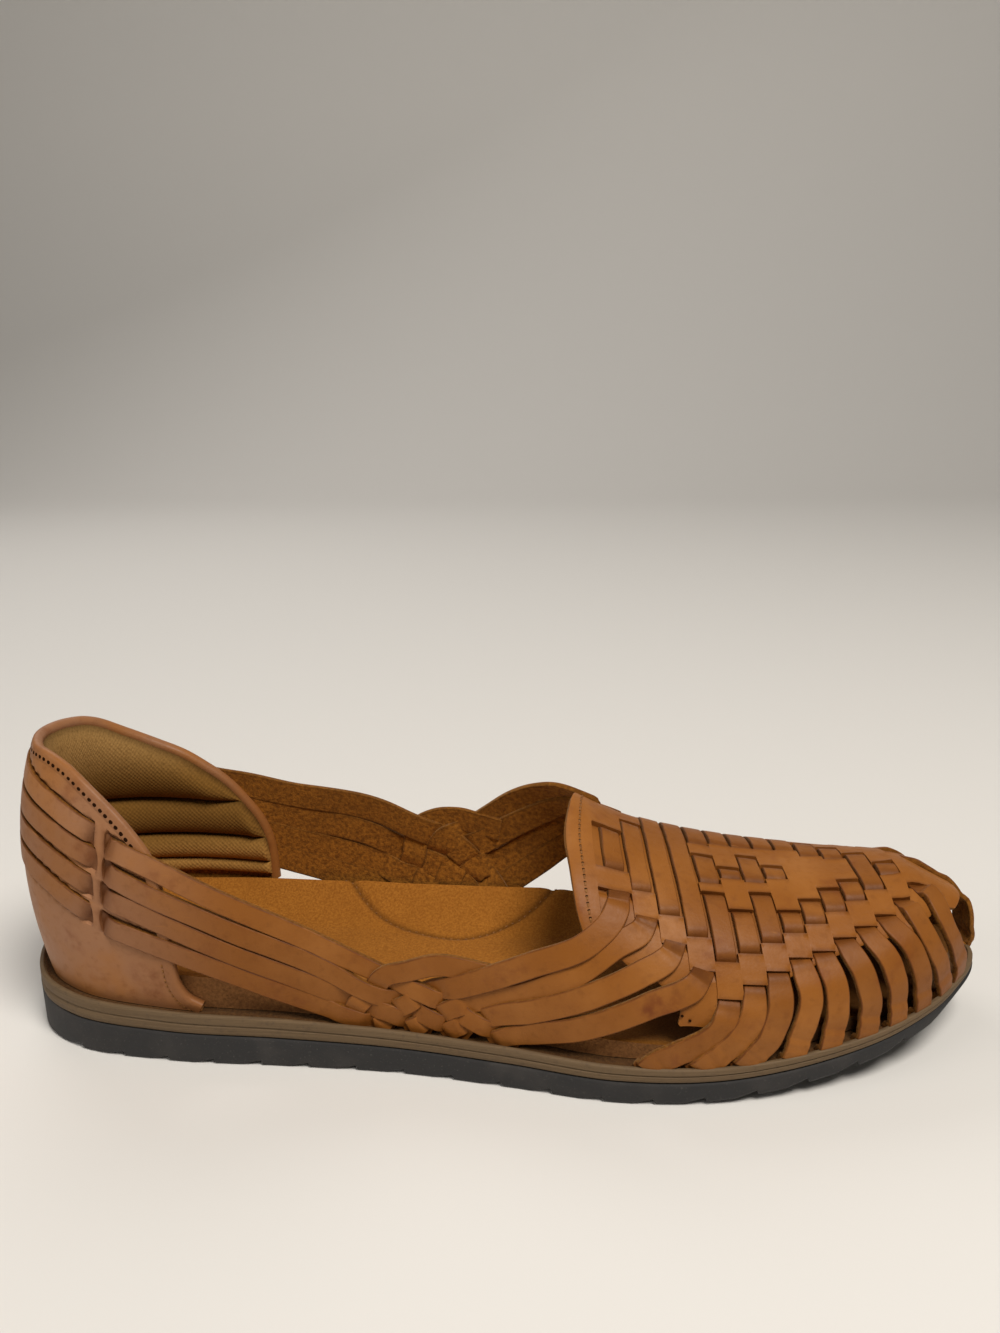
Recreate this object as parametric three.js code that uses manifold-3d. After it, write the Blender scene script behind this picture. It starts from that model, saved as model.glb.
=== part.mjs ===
// A woven leather flat for the right foot, built round one last.
// Millimetres. x runs from heel to toe, y to the inner side of the foot, z up from the floor.
import * as THREE from 'three';
import Module from 'manifold-3d';

const wasm = await Module();
wasm.setup();

// Leather, gaps and the sole's main sizes
const WALL = 2.0;
const STRIP_INNER = -0.9;
const STRIP_OUTER = 1.1;
const SIDE_STRAP_INNER = -1.3;
const SIDE_STRAP_OUTER = 0.4;
const VAMP_STRAP_INNER = -0.5;
const VAMP_STRAP_OUTER = 1.2;
const STRIP_WIDTH = 6.0;
const STRAP_WIDTH = 6.4;
const GAP = 0.3;
const SOLE_MARGIN = 3.7;
const RECESS_MARGIN = 1.6;
const RECESS_DEPTH = 1.2;
const OUTSOLE_SHARE = 0.6;
const GROOVE_DEPTH = 0.5;
// Length of leather trimmed off level with the bed of the midsole
const FOOT_TRIM = 1;

// Saw-tooth steps along the underside: a flat land, a ramp, then a step down
const TOOTH_PITCH = 13.4;
const TOOTH_START = 9;
const TOOTH_LAND = 7.5;
const TOOTH_RAMP_END = 12.8;
const TOOTH_RISE = 1.2;
const TOOTH_COUNT = 19;
const BOTTOM_CHAMFER = 0.9;

// The last: one row for each section from heel to toe.
// along is the share of the way round, lateral and medial are the sole's edges, rim is the top of
// the midsole, ridge is the top line of the last, power rounds the section, bulge swells the wall
// and spring lifts the sole off the floor.
const STATION_COLUMNS = ['along', 'x', 'lateral', 'medial', 'rim', 'ridgeX', 'ridgeY', 'ridgeZ',
  'power', 'bulge', 'spring'];
const STATIONS = [
  [0.00, 0, 0, 0, 19, 46, 0, 130, 1, 9.4, 0],
  [0.06, 6.5, -19, 18.5, 18, 47, 0, 129, 1, 9, 0],
  [0.12, 21, -29.5, 28.5, 17, 50, 0, 126, 1, 7, 0],
  [0.20, 48, -34, 33.5, 15.5, 60, 0, 118, 1, 5, 0],
  [0.30, 82, -34.5, 33.5, 14.5, 84, 0, 104, 1, 3.5, 0],
  [0.40, 114, -35.5, 32.5, 13, 114, 0, 90, 0.95, 2.5, 0],
  [0.50, 144, -39.5, 33.5, 12, 144, 1.5, 75.5, 0.92, 2, 0],
  [0.60, 173, -44, 37, 10.8, 172, 4.5, 59, 0.9, 2.5, 0],
  [0.70, 202, -42.5, 42.8, 10.8, 198, 6.5, 50.3, 0.86, 3, 1.2],
  [0.79, 228, -35.5, 44.4, 12.8, 219, 7, 46.5, 0.82, 3, 4.4],
  [0.87, 249, -25.5, 39.5, 15.6, 234, 6.5, 45.3, 0.77, 3, 8.4],
  [0.94, 265, -11.5, 28.4, 18.2, 241, 6, 45, 0.73, 3, 12.6],
  [1.00, 274, 5.5, 5.5, 20.5, 243, 5.5, 45, 0.7, 3, 15.3],
];

// Collar line of the counter: rows of along and the height of its top edge, the same on both sides
const COLLAR = [
  [0, 86], [0.05, 87], [0.1, 86], [0.14, 80], [0.18, 69], [0.215, 52], [0.235, 24],
];
const COUNTER_FRONT = 0.235;
const COUNTER_TIP = 6;
const BINDING_RADIUS = 1.8;

// Four strips round the back of the counter: height at the back and at the side slots
const HEEL_STRIP_COLUMNS = ['back', 'slot'];
const HEEL_STRIPS = [[77, 65.5], [70, 58.5], [63, 51.5], [55, 44]];
const HEEL_SLOT = 0.157;

// Side straps from counter to braid: heights at three sections, and where each meets the sole
const SIDE_SECTIONS = [0.172, 0.253, 0.333];
const SIDE_STRAP_COLUMNS = ['counter', 'waist', 'braid', 'foot'];
const SIDE_STRAPS = [
  [62, 49, 37, 0.5],
  [54, 41.7, 30.5, 0.455],
  [47, 34.8, 24, 0.42],
  [38.6, 28.3, 18, 0.385],
];

// Vamp straps from their slots back to the braid, with heights at three sections on the way
const VAMP_SECTIONS = [0.585, 0.525, 0.465];
const VAMP_STRAP_COLUMNS = ['slot', 'slotHeight', 'front', 'middle', 'braid', 'foot'];
const VAMP_STRAPS = [
  [0.609, 50.5, 43.2, 35.3, 28, 0.38],
  [0.626, 46, 37.5, 28.5, 22.3, 0.413],
  [0.654, 41, 29.8, 22.8, 17.3, 0.445],
  [0.68, 35.5, 21.4, 15.9, null, 0.49],
];
// The strap that loops over the top of the braid: rows of along and height
const BRAID_LOOP = [[0.475, 31.5], [0.438, 34], [0.411, 31.7], [0.389, 28], [0.35, 13]];
// The inner side's braid stands higher over the arch
const ARCH_LIFT = 0.5;
const ARCH_CENTRE = 0.405;
const ARCH_REACH = 0.22;

// Vamp apron: rows of along and how far down each side it comes, 0 at the ridge and 1 at the sole
const APRON = [
  [0.552, 0.6], [0.6, 0.71], [0.655, 0.84], [0.7, 0.8], [0.74, 0.71], [0.79, 0.62],
  [0.84, 0.56], [0.9, 0.5], [1, 0.46],
];

// Bands that run from slots in the apron's edge down to the sole
const BAND_COLUMNS = ['slot', 'reach', 'foot'];
const BANDS = [
  [0.703, 0.7, 0.625],
  [0.727, 0.66, 0.684],
  [0.75, 0.6, 0.73],
  [0.771, 0.56, 0.76],
  [0.796, 0.53, 0.791],
  [0.821, 0.48, 0.823],
  [0.848, 0.45, 0.86],
  [0.88, 0.41, 0.897],
  [0.917, 0.34, 0.932],
  [0.965, 0.33, 0.969],
];

// Weave on the apron: strips lie across a line that turns inwards, and show between slits.
// centre is half the length of the middle showing, inner and outer bound the showings beside it.
const WEAVE_ORIGIN = new THREE.Vector2(210, -4);
const WEAVE_TURN = THREE.MathUtils.degToRad(11);
const WEAVE_PITCH = 6.55;
const WEAVE_FIRST = -6;
const WEAVE_COLUMNS = ['centre', 'inner', 'outer'];
const WEAVE = [
  [7.5, 0, 0],
  [13, 0, 0],
  [19.5, 0, 0],
  [24.5, 0, 0],
  [5.8, 10, 27],
  [3, 12.5, 26],
  [6.5, 10.5, 25],
  [3, 13, 22],
  [0, 11.3, 20.5],
  [0, 8.2, 17.5],
  [0, 5.6, 14],
  [9.8, 0, 0],
  [3.6, 0, 0],
];

// Footbed: height over the midsole's rim in the middle, and extra at its outer and inner edges
const FOOTBED_COLUMNS = ['along', 'middle', 'outerEdge', 'innerEdge'];
const FOOTBED = [
  [0, 4, 7, 7], [0.15, 3.6, 6, 6.5], [0.3, 3.4, 5, 8], [0.42, 3.6, 4.5, 9], [0.55, 3.2, 2, 4],
  [0.7, 2.6, 0.8, 1], [1, 2.4, 0.8, 0.8],
];
const FOOTBED_ACROSS = [-1, -0.8, -0.5, 0, 0.5, 0.8, 1];
const FOOTBED_CUP = 17;

// Padded lining inside the counter
const LINING_FOOT = 34;
const LINING_DROP = 6;
const LINING_THICK = 3;

const named = (columns, rows) => rows.map(
  (row) => Object.fromEntries(row.map((value, i) => [columns[i], value])));
const stations = named(STATION_COLUMNS, STATIONS);

// A smooth curve through (knots, values)
function curve(knots, values, t) {
  let i = 1;
  while (i < knots.length - 3 && t >= knots[i + 1]) i += 1;
  const [t0, t1, t2, t3] = knots.slice(i - 1, i + 3);
  const [v0, v1, v2, v3] = values.slice(i - 1, i + 3);
  const slope = (ta, va, tb, vb, tc, vc) => (
    ((vc - vb) / (tc - tb) * (tb - ta) + (vb - va) / (tb - ta) * (tc - tb)) / (tc - ta));
  const step = t2 - t1;
  const u = (t - t1) / step;
  const m1 = slope(t0, v0, t1, v1, t2, v2) * step;
  const m2 = slope(t1, v1, t2, v2, t3, v3) * step;
  return (2 * u ** 3 - 3 * u ** 2 + 1) * v1 + (u ** 3 - 2 * u ** 2 + u) * m1
    + (3 * u ** 2 - 2 * u ** 3) * v2 + (u ** 3 - u ** 2) * m2;
}

// The same through a short open table, with its ends carried on in line
function through(pairs, t) {
  const last = pairs.length - 1;
  const before = pairs[0].map((v, k) => 2 * v - pairs[1][k]);
  const after = pairs[last].map((v, k) => 2 * v - pairs[last - 1][k]);
  const all = [before, ...pairs, after];
  return curve(all.map((p) => p[0]), all.map((p) => p[1]), t);
}

// Straight lines through a short table
function between(pairs, t) {
  let i = 0;
  while (i < pairs.length - 2 && t > pairs[i + 1][0]) i += 1;
  const u = THREE.MathUtils.clamp((t - pairs[i][0]) / (pairs[i + 1][0] - pairs[i][0]), 0, 1);
  return THREE.MathUtils.lerp(pairs[i][1], pairs[i + 1][1], u);
}

// A station column as a smooth function; past heel and toe it goes on along the other side
function stationCurve(name, otherSide = name) {
  const n = stations.length;
  const along = stations.map((row) => row.along);
  const knots = [-along[2], -along[1], ...along, 2 - along[n - 2], 2 - along[n - 3]];
  const values = [stations[2][otherSide], stations[1][otherSide], ...stations.map((r) => r[name]),
    stations[n - 2][otherSide], stations[n - 3][otherSide]];
  return (s) => curve(knots, values, s);
}
const at = Object.fromEntries(STATION_COLUMNS.slice(1).map((name) => [name, stationCurve(name)]));
at.lateral = stationCurve('lateral', 'medial');
at.medial = stationCurve('medial', 'lateral');
const springAt = (s) => Math.max(0, at.spring(s));
const splitAt = (s) => springAt(s) + OUTSOLE_SHARE * (at.rim(s) - springAt(s));

// Section of the last at a given x
function alongAt(x) {
  let low = 0;
  let high = 1;
  for (let i = 0; i < 40; i += 1) {
    const middle = (low + high) / 2;
    if (at.x(middle) < x) low = middle;
    else high = middle;
  }
  return (low + high) / 2;
}

// Sole edge moved inwards by inset; side is -1 lateral, 1 medial
function soleEdge(s, side, inset = 0) {
  const edge = (t) => new THREE.Vector2(at.x(t), side < 0 ? at.lateral(t) : at.medial(t));
  const step = 1e-3;
  const run = edge(s + step).sub(edge(s - step)).normalize();
  return edge(s).add(new THREE.Vector2(run.y, -run.x).multiplyScalar(side * inset));
}

// Foot of the upper, and the share of the rise at a height over it
const footHeight = (s) => at.rim(s) - RECESS_DEPTH + GAP;
function riseAt(s, height) {
  const share = (height - footHeight(s)) / (at.ridgeZ(s) - footHeight(s));
  return Math.asin(THREE.MathUtils.clamp(share, 0, 1) ** (1 / at.power(s))) * 2 / Math.PI;
}

// Point on the last: a is -1 at the lateral foot, 0 on the ridge, 1 at the medial foot
function lastPoint(s, a) {
  const side = a < 0 ? -1 : 1;
  const rise = THREE.MathUtils.clamp(1 - Math.abs(a), 0, 1);
  const turn = rise * Math.PI / 2;
  const power = at.power(s);
  const inward = 1 - Math.max(0, Math.cos(turn)) ** power;
  const foot = soleEdge(s, side, SOLE_MARGIN);
  const toRidge = new THREE.Vector2(at.ridgeX(s), at.ridgeY(s)).sub(foot);
  const swell = at.bulge(s) * Math.sin(Math.PI * Math.min(1, 1.35 * rise)) * (1 - rise);
  const plan = foot.add(toRidge.clone().multiplyScalar(inward - swell / toRidge.length()));
  const z = footHeight(s) + (at.ridgeZ(s) - footHeight(s)) * Math.sin(turn) ** power;
  return new THREE.Vector3(plan.x, plan.y, z);
}

function lastNormal(s, a) {
  const step = 2e-3;
  const low = Math.max(-1, a - step);
  const high = Math.min(1, a + step);
  const alongRun = lastPoint(s + step, a).sub(lastPoint(s - step, a));
  const acrossRun = lastPoint(s, high).sub(lastPoint(s, low));
  return alongRun.cross(acrossRun).normalize();
}
const skin = (s, a, out = 0) => lastPoint(s, a).addScaledVector(lastNormal(s, a), out);

// a at a height on one side, and a at a share of the half width
const atHeight = (s, side, height) => side * (1 - riseAt(s, height));
const atWidth = (s, c) => Math.sign(c)
  * (1 - Math.acos(Math.abs(c) ** (1 / at.power(s))) * 2 / Math.PI);
const widthOf = (s, a) => Math.cos((1 - Math.abs(a)) * Math.PI / 2) ** at.power(s);

// Section and share of the width under a point in plan
function underPlan(x, y) {
  let s = alongAt(x);
  let c = 0.01;
  const plan = (t, w) => lastPoint(t, atWidth(t, THREE.MathUtils.clamp(w, -1, 1)));
  const step = 1e-3;
  for (let i = 0; i < 30; i += 1) {
    const here = plan(s, c);
    const ds = plan(s + step, c).sub(here).divideScalar(step);
    const dc = plan(s, c + step).sub(here).divideScalar(step);
    const missX = x - here.x;
    const missY = y - here.y;
    const det = ds.x * dc.y - ds.y * dc.x;
    s += THREE.MathUtils.clamp((missX * dc.y - missY * dc.x) / det, -0.03, 0.03);
    c += THREE.MathUtils.clamp((ds.x * missY - ds.y * missX) / det, -0.2, 0.2);
    s = THREE.MathUtils.clamp(s, 0.3, 0.999);
    c = THREE.MathUtils.clamp(c, -0.98, 0.98);
  }
  return [s, atWidth(s, c)];
}

// A closed body from matching outer and inner points and the faces between them
function closedSheet(outer, inner, quads) {
  const index = new Map();
  const ids = outer.map((p) => {
    const key = p.toArray().map((v) => Math.round(v * 1e3)).join(',');
    if (!index.has(key)) index.set(key, index.size);
    return index.get(key);
  });
  const count = index.size;
  const points = new Float32Array(count * 6);
  outer.forEach((p, i) => p.toArray(points, ids[i] * 3));
  inner.forEach((p, i) => p.toArray(points, (count + ids[i]) * 3));
  const triangles = [];
  const edges = new Map();
  const addFace = (a, b, c) => {
    if (a === b || b === c || c === a) return;
    triangles.push(a, b, c, count + a, count + c, count + b);
    [[a, b], [b, c], [c, a]].forEach(([p, q]) => edges.set(`${p},${q}`, [p, q]));
  };
  quads.forEach(([a, b, c, d]) => {
    addFace(ids[a], ids[b], ids[c]);
    addFace(ids[a], ids[c], ids[d]);
  });
  edges.forEach(([p, q]) => {
    if (edges.has(`${q},${p}`)) return;
    triangles.push(q, p, count + p, q, count + p, count + q);
  });
  return new wasm.Manifold(new wasm.Mesh({
    numProp: 3, vertProperties: points, triVerts: new Uint32Array(triangles),
  }));
}

// Evenly spaced values, both ends included
const range = (count, from, to) => Array.from(
  { length: count + 1 }, (_, i) => from + (to - from) * i / count);

// Faces of a grid with the given numbers of cells, over points listed row by row
function gridQuads(rows, columns) {
  const quads = [];
  for (let i = 0; i < rows; i += 1) {
    for (let j = 0; j < columns; j += 1) {
      const corner = i * (columns + 1) + j;
      const next = corner + columns + 1;
      quads.push([corner, next, next + 1, corner + 1]);
    }
  }
  return quads;
}

// A piece of wall: rows of [s, a] places, thick from inner to outer
function wallPatch(rows, inner, outer) {
  const places = rows.flat();
  return closedSheet(
    places.map(([s, a]) => skin(s, a, outer)),
    places.map(([s, a]) => skin(s, a, inner)),
    gridQuads(rows.length - 1, rows[0].length - 1));
}

// A closed body swept along frames; section is a ring of [across, out] pairs
function swept(frames, section) {
  const n = section.length;
  const points = frames.flatMap(({ point, across, out }) => section.flatMap(
    ([u, v]) => point.clone().addScaledVector(across, u).addScaledVector(out, v).toArray()));
  const triangles = [];
  for (let i = 0; i < frames.length - 1; i += 1) {
    for (let j = 0; j < n; j += 1) {
      const a = i * n + j;
      const b = i * n + (j + 1) % n;
      triangles.push(a, b + n, b, a, a + n, b + n);
    }
  }
  const end = (frames.length - 1) * n;
  for (let j = 1; j < n - 1; j += 1) triangles.push(0, j, j + 1, end, end + j + 1, end + j);
  return new wasm.Manifold(new wasm.Mesh({
    numProp: 3, vertProperties: new Float32Array(points), triVerts: new Uint32Array(triangles),
  }));
}

// Frames of a path on the last, from its [s, a] places
function framesOn(places, sink = 0) {
  const points = places.map(([s, a]) => skin(s, a, sink));
  return points.map((point, i) => {
    const run = points[Math.min(i + 1, points.length - 1)].clone().sub(points[Math.max(i - 1, 0)]);
    const out = lastNormal(...places[i]);
    const across = run.normalize().cross(out).normalize();
    return { point, across, out };
  });
}

function strip(places, width, inner, outer) {
  const half = width / 2;
  return swept(framesOn(places), [[-half, inner], [half, inner], [half, outer], [-half, outer]]);
}

const joined = (bodies) => bodies.reduce((whole, body) => whole.add(body));
const bothSides = [-1, 1];

// Rings of the sole's outline, lateral heel to toe and back along the medial side
function soleBody(alongs, rings) {
  const n = alongs.length;
  const round = [...alongs.map((s) => [s, -1]), ...alongs.slice(1, -1).reverse().map((s) => [s, 1])];
  const count = round.length;
  const points = rings.flatMap(({ inset, height }) => round.flatMap(([s, side]) => {
    const edge = soleEdge(s, side, inset);
    return [edge.x, edge.y, height(s)];
  }));
  const triangles = [];
  for (let r = 0; r < rings.length - 1; r += 1) {
    for (let i = 0; i < count; i += 1) {
      const a = r * count + i;
      const b = r * count + (i + 1) % count;
      triangles.push(a, b, b + count, a, b + count, a + count);
    }
  }
  const top = (rings.length - 1) * count;
  const other = (i) => (count - i) % count;
  for (let i = 0; i < n - 1; i += 1) {
    const ladder = [[i, i + 1, other(i + 1)], [i, other(i + 1), other(i)]];
    ladder.filter(([a, b, c]) => a !== b && b !== c && c !== a).forEach(([a, b, c]) => {
      triangles.push(top + a, top + b, top + c, a, c, b);
    });
  }
  return new wasm.Manifold(new wasm.Mesh({
    numProp: 3, vertProperties: new Float32Array(points), triVerts: new Uint32Array(triangles),
  }));
}

const TIP_STEPS = [0, 0.02, 0.04];
const soleAlongs = [
  ...TIP_STEPS, ...range(24, 0.07, 0.93), ...TIP_STEPS.map((t) => 1 - t).reverse()];

function makeOutsole() {
  const marks = [];
  for (let k = 0; k < TOOTH_COUNT; k += 1) {
    const start = TOOTH_START + k * TOOTH_PITCH;
    marks.push([start, 0], [start + TOOTH_LAND, 0], [start + TOOTH_RAMP_END, TOOTH_RISE]);
  }
  const steps = marks.map(([x, rise]) => [alongAt(x), rise]);
  const heelEnd = steps[0][0];
  const toeStart = steps[steps.length - 1][0];
  const heel = range(4, 0, heelEnd).slice(0, -1);
  const toe = range(3, toeStart, 1).slice(1);
  const alongs = [...heel, ...steps.map(([s]) => s), ...toe];
  const tooth = (s) => (s <= heelEnd ? 0 : between([...steps, [1, TOOTH_RISE]], s));
  const bottom = (s) => springAt(s) + tooth(s);
  return soleBody(alongs, [
    { inset: BOTTOM_CHAMFER, height: bottom },
    { inset: 0, height: (s) => bottom(s) + BOTTOM_CHAMFER },
    { inset: 0, height: (s) => splitAt(s) - GAP / 2 },
  ]);
}

function makeMidsole() {
  const level = (share) => (s) => splitAt(s) + GAP / 2 + share * (at.rim(s) - splitAt(s) - GAP / 2);
  const floor = (s) => at.rim(s) - RECESS_DEPTH;
  return soleBody(soleAlongs, [
    { inset: 0, height: level(0) },
    { inset: 0, height: level(0.42) },
    { inset: GROOVE_DEPTH, height: level(0.47) },
    { inset: GROOVE_DEPTH, height: level(0.53) },
    { inset: 0, height: level(0.58) },
    { inset: 0.2, height: level(1) },
    { inset: RECESS_MARGIN, height: level(1) },
    { inset: RECESS_MARGIN, height: floor },
  ]);
}

function makeInsole() {
  const inset = SOLE_MARGIN + WALL + GAP;
  const bed = named(FOOTBED_COLUMNS, FOOTBED);
  const pick = (name) => bed.map((row) => [row.along, row[name]]);
  const heel = soleEdge(0, 1, inset);
  const toe = soleEdge(1, 1, inset);
  const top = [];
  const under = [];
  soleAlongs.forEach((s) => {
    const lateral = soleEdge(s, -1, inset);
    const medial = soleEdge(s, 1, inset);
    FOOTBED_ACROSS.forEach((w) => {
      const plan = lateral.clone().lerp(medial, (w + 1) / 2);
      const lip = w < 0 ? between(pick('outerEdge'), s) : between(pick('innerEdge'), s);
      const toEdge = Math.min(plan.distanceTo(lateral), plan.distanceTo(medial));
      const inside = Math.min(toEdge, plan.x - heel.x, toe.x - plan.x);
      const cup = Math.max(0, 1 - inside / FOOTBED_CUP) ** 2;
      const z = at.rim(s) + between(pick('middle'), s) + lip * cup;
      top.push(new THREE.Vector3(plan.x, plan.y, z));
      under.push(new THREE.Vector3(plan.x, plan.y, footHeight(s)));
    });
  });
  return closedSheet(top, under, gridQuads(soleAlongs.length - 1, FOOTBED_ACROSS.length - 1));
}

const wallTop = (s) => between(COLLAR, s) - 2 * BINDING_RADIUS - GAP;

// Stations round the heel, in steps of the counter, from the medial to the lateral side
const COUNTER_STEPS = 12;
const LINING_STEPS = 7;
const BINDING_STEPS = 9;
const heelWays = (steps) => range(2 * steps, steps, -steps).map(
  (k) => k * COUNTER_FRONT / COUNTER_STEPS);
const heelPlace = (t, height) => {
  const side = t < 0 ? -1 : 1;
  return [Math.abs(t), atHeight(Math.abs(t), side, height)];
};

function makeCounter() {
  const ways = heelWays(COUNTER_STEPS);
  const rows = ways.map((t) => {
    const s = Math.abs(t);
    const base = footHeight(s) - FOOT_TRIM;
    return range(5, base, Math.max(wallTop(s), base + COUNTER_TIP)).map((z) => heelPlace(t, z));
  });
  return wallPatch(rows, -WALL, 0);
}

function makeHeelStrips() {
  return named(HEEL_STRIP_COLUMNS, HEEL_STRIPS).map(({ back, slot }) => strip(
    range(8, -1, 1).map((t) => heelPlace(t * HEEL_SLOT, back + (slot - back) * t ** 2)),
    STRIP_WIDTH, STRIP_INNER, STRIP_OUTER));
}

// Straps between counter, braid and vamp, on one side
function strapPlaces(pairs, side, steps) {
  const ordered = [...pairs].sort((p, q) => p[0] - q[0]);
  return range(steps, ordered[0][0], ordered[ordered.length - 1][0]).map((s) => {
    const height = through(ordered, s);
    const near = Math.max(0, 1 - ((s - ARCH_CENTRE) / ARCH_REACH) ** 2);
    const lift = side > 0 ? 1 + ARCH_LIFT * near : 1;
    return [s, atHeight(s, side, footHeight(s) + (height - footHeight(s)) * lift)];
  });
}

function makeStraps(side) {
  const sole = (s) => footHeight(s) - FOOT_TRIM;
  const sideStraps = named(SIDE_STRAP_COLUMNS, SIDE_STRAPS).map((row) => strip(strapPlaces([
    [SIDE_SECTIONS[0], row.counter], [SIDE_SECTIONS[1], row.waist], [SIDE_SECTIONS[2], row.braid],
    [row.foot, sole(row.foot)]], side, 6), STRAP_WIDTH, SIDE_STRAP_INNER, SIDE_STRAP_OUTER));
  const vampStraps = named(VAMP_STRAP_COLUMNS, VAMP_STRAPS).map((row) => {
    const way = [[row.slot, row.slotHeight], [VAMP_SECTIONS[0], row.front],
      [VAMP_SECTIONS[1], row.middle], [VAMP_SECTIONS[2], row.braid], [row.foot, sole(row.foot)]];
    return strip(strapPlaces(way.filter(([, height]) => height !== null), side, 6),
      STRAP_WIDTH, VAMP_STRAP_INNER, VAMP_STRAP_OUTER);
  });
  const loop = strip(
    strapPlaces(BRAID_LOOP, side, 7), STRAP_WIDTH, VAMP_STRAP_INNER, VAMP_STRAP_OUTER);
  return [...sideStraps, ...vampStraps, loop];
}

function makeBands(side) {
  return named(BAND_COLUMNS, BANDS).map(({ slot, reach, foot }) => strip(
    range(4, 0, 1).map((t) => [slot + (foot - slot) * t, side * (reach + (1 - reach) * t)]),
    STRIP_WIDTH, STRIP_INNER, STRIP_OUTER));
}

function makeApron() {
  const throat = APRON[0][0];
  const half = range(15, throat, 1);
  const loop = [...half.map((s) => [s, -1]), ...half.slice(0, -1).reverse().map((s) => [s, 1])];
  const rows = loop.map(([s, side]) => {
    const edge = widthOf(s, through(APRON, s));
    return range(6, edge, 0).map((c) => [s, side * Math.abs(atWidth(s, c || 1e-9))]);
  });
  return wallPatch(rows, -WALL, 0);
}

// Raised showings of the strips woven through the apron
function makeWeave() {
  const forward = new THREE.Vector2(Math.cos(WEAVE_TURN), Math.sin(WEAVE_TURN));
  const sideways = new THREE.Vector2(-forward.y, forward.x);
  const showing = (row, from, to) => {
    const place = (v) => WEAVE_ORIGIN.clone().addScaledVector(forward, row * WEAVE_PITCH)
      .addScaledVector(sideways, v);
    const steps = Math.max(1, Math.round(Math.abs(to - from) / 8));
    const places = range(steps, from, to).map((v) => underPlan(place(v).x, place(v).y));
    return strip(places, STRIP_WIDTH, STRIP_INNER, STRIP_OUTER);
  };
  return named(WEAVE_COLUMNS, WEAVE).flatMap(({ centre, inner, outer }, i) => {
    const row = WEAVE_FIRST + i;
    const pieces = [];
    if (centre > 0) pieces.push(showing(row, centre, -centre));
    if (outer > 0) pieces.push(showing(row, outer, inner), showing(row, -inner, -outer));
    return pieces;
  });
}

// Everything under the bed of the midsole, to trim the foot of the upper level with it
function makeBelowBed() {
  return soleBody(soleAlongs, [
    { inset: RECESS_MARGIN, height: () => -RECESS_DEPTH },
    { inset: RECESS_MARGIN, height: footHeight },
  ]);
}

function makeUpper() {
  const pieces = [makeCounter(), makeApron(), ...makeHeelStrips(), ...makeWeave(),
    ...bothSides.flatMap((side) => [...makeStraps(side), ...makeBands(side)])];
  return joined(pieces).subtract(makeBelowBed());
}

function makeLining() {
  const outer = -WALL - 2 * GAP;
  const rows = heelWays(LINING_STEPS).map((t) => range(6, LINING_FOOT,
    wallTop(Math.abs(t)) - LINING_DROP).map((z) => heelPlace(t, z)));
  return wallPatch(rows, outer - LINING_THICK, outer);
}

function makeBinding() {
  const edge = heelWays(BINDING_STEPS).reverse().map((t) => heelPlace(t, wallTop(Math.abs(t))));
  const frames = framesOn(edge, -WALL / 2);
  frames.forEach(({ point, across }) => point.addScaledVector(across, BINDING_RADIUS + GAP));
  const ring = range(8, 0, 2 * Math.PI).slice(0, -1)
    .map((t) => [BINDING_RADIUS * Math.cos(t), BINDING_RADIUS * Math.sin(t)]);
  return swept(frames, ring);
}

function toMesh(name, body, look) {
  const { vertProperties, triVerts } = body.getMesh();
  const geometry = new THREE.BufferGeometry();
  geometry.setAttribute('position', new THREE.BufferAttribute(vertProperties, 3));
  geometry.setIndex(new THREE.BufferAttribute(triVerts, 1));
  geometry.computeVertexNormals();
  const mesh = new THREE.Mesh(geometry, new THREE.MeshStandardMaterial({ metalness: 0, ...look }));
  mesh.name = name;
  return mesh;
}

const shoe = new THREE.Group();
shoe.add(
  toMesh('outsole', makeOutsole(), { color: 0x3b3733, roughness: 0.85 }),
  toMesh('midsole', makeMidsole(), { color: 0x77634f, roughness: 0.8 }),
  toMesh('insole', makeInsole(), { color: 0xb87a34, roughness: 0.95 }),
  toMesh('upper', makeUpper(), { color: 0xb27a4c, roughness: 0.55 }),
  toMesh('heel_lining', makeLining(), { color: 0x8a7743, roughness: 1 }),
  toMesh('collar_binding', makeBinding(), { color: 0xa9683a, roughness: 0.5 }),
);

// The origin is on the floor under the middle of the shoe
const box = new THREE.Box3().setFromObject(shoe);
shoe.position.set(-(box.min.x + box.max.x) / 2, -(box.min.y + box.max.y) / 2, -box.min.z);

export default shoe;
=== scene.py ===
# %% [markdown]
# # A woven leather flat
# This lesson dresses the solids of a slip-on shoe: a rubber sole, a suede footbed, a padded heel and
# an upper woven from long leather straps. The solids stay as the fixed frame. Every visible piece is
# a mesh worked out with numpy on the same last, so it sits exactly where its solid does.

# %% Load the frame
import math

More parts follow.
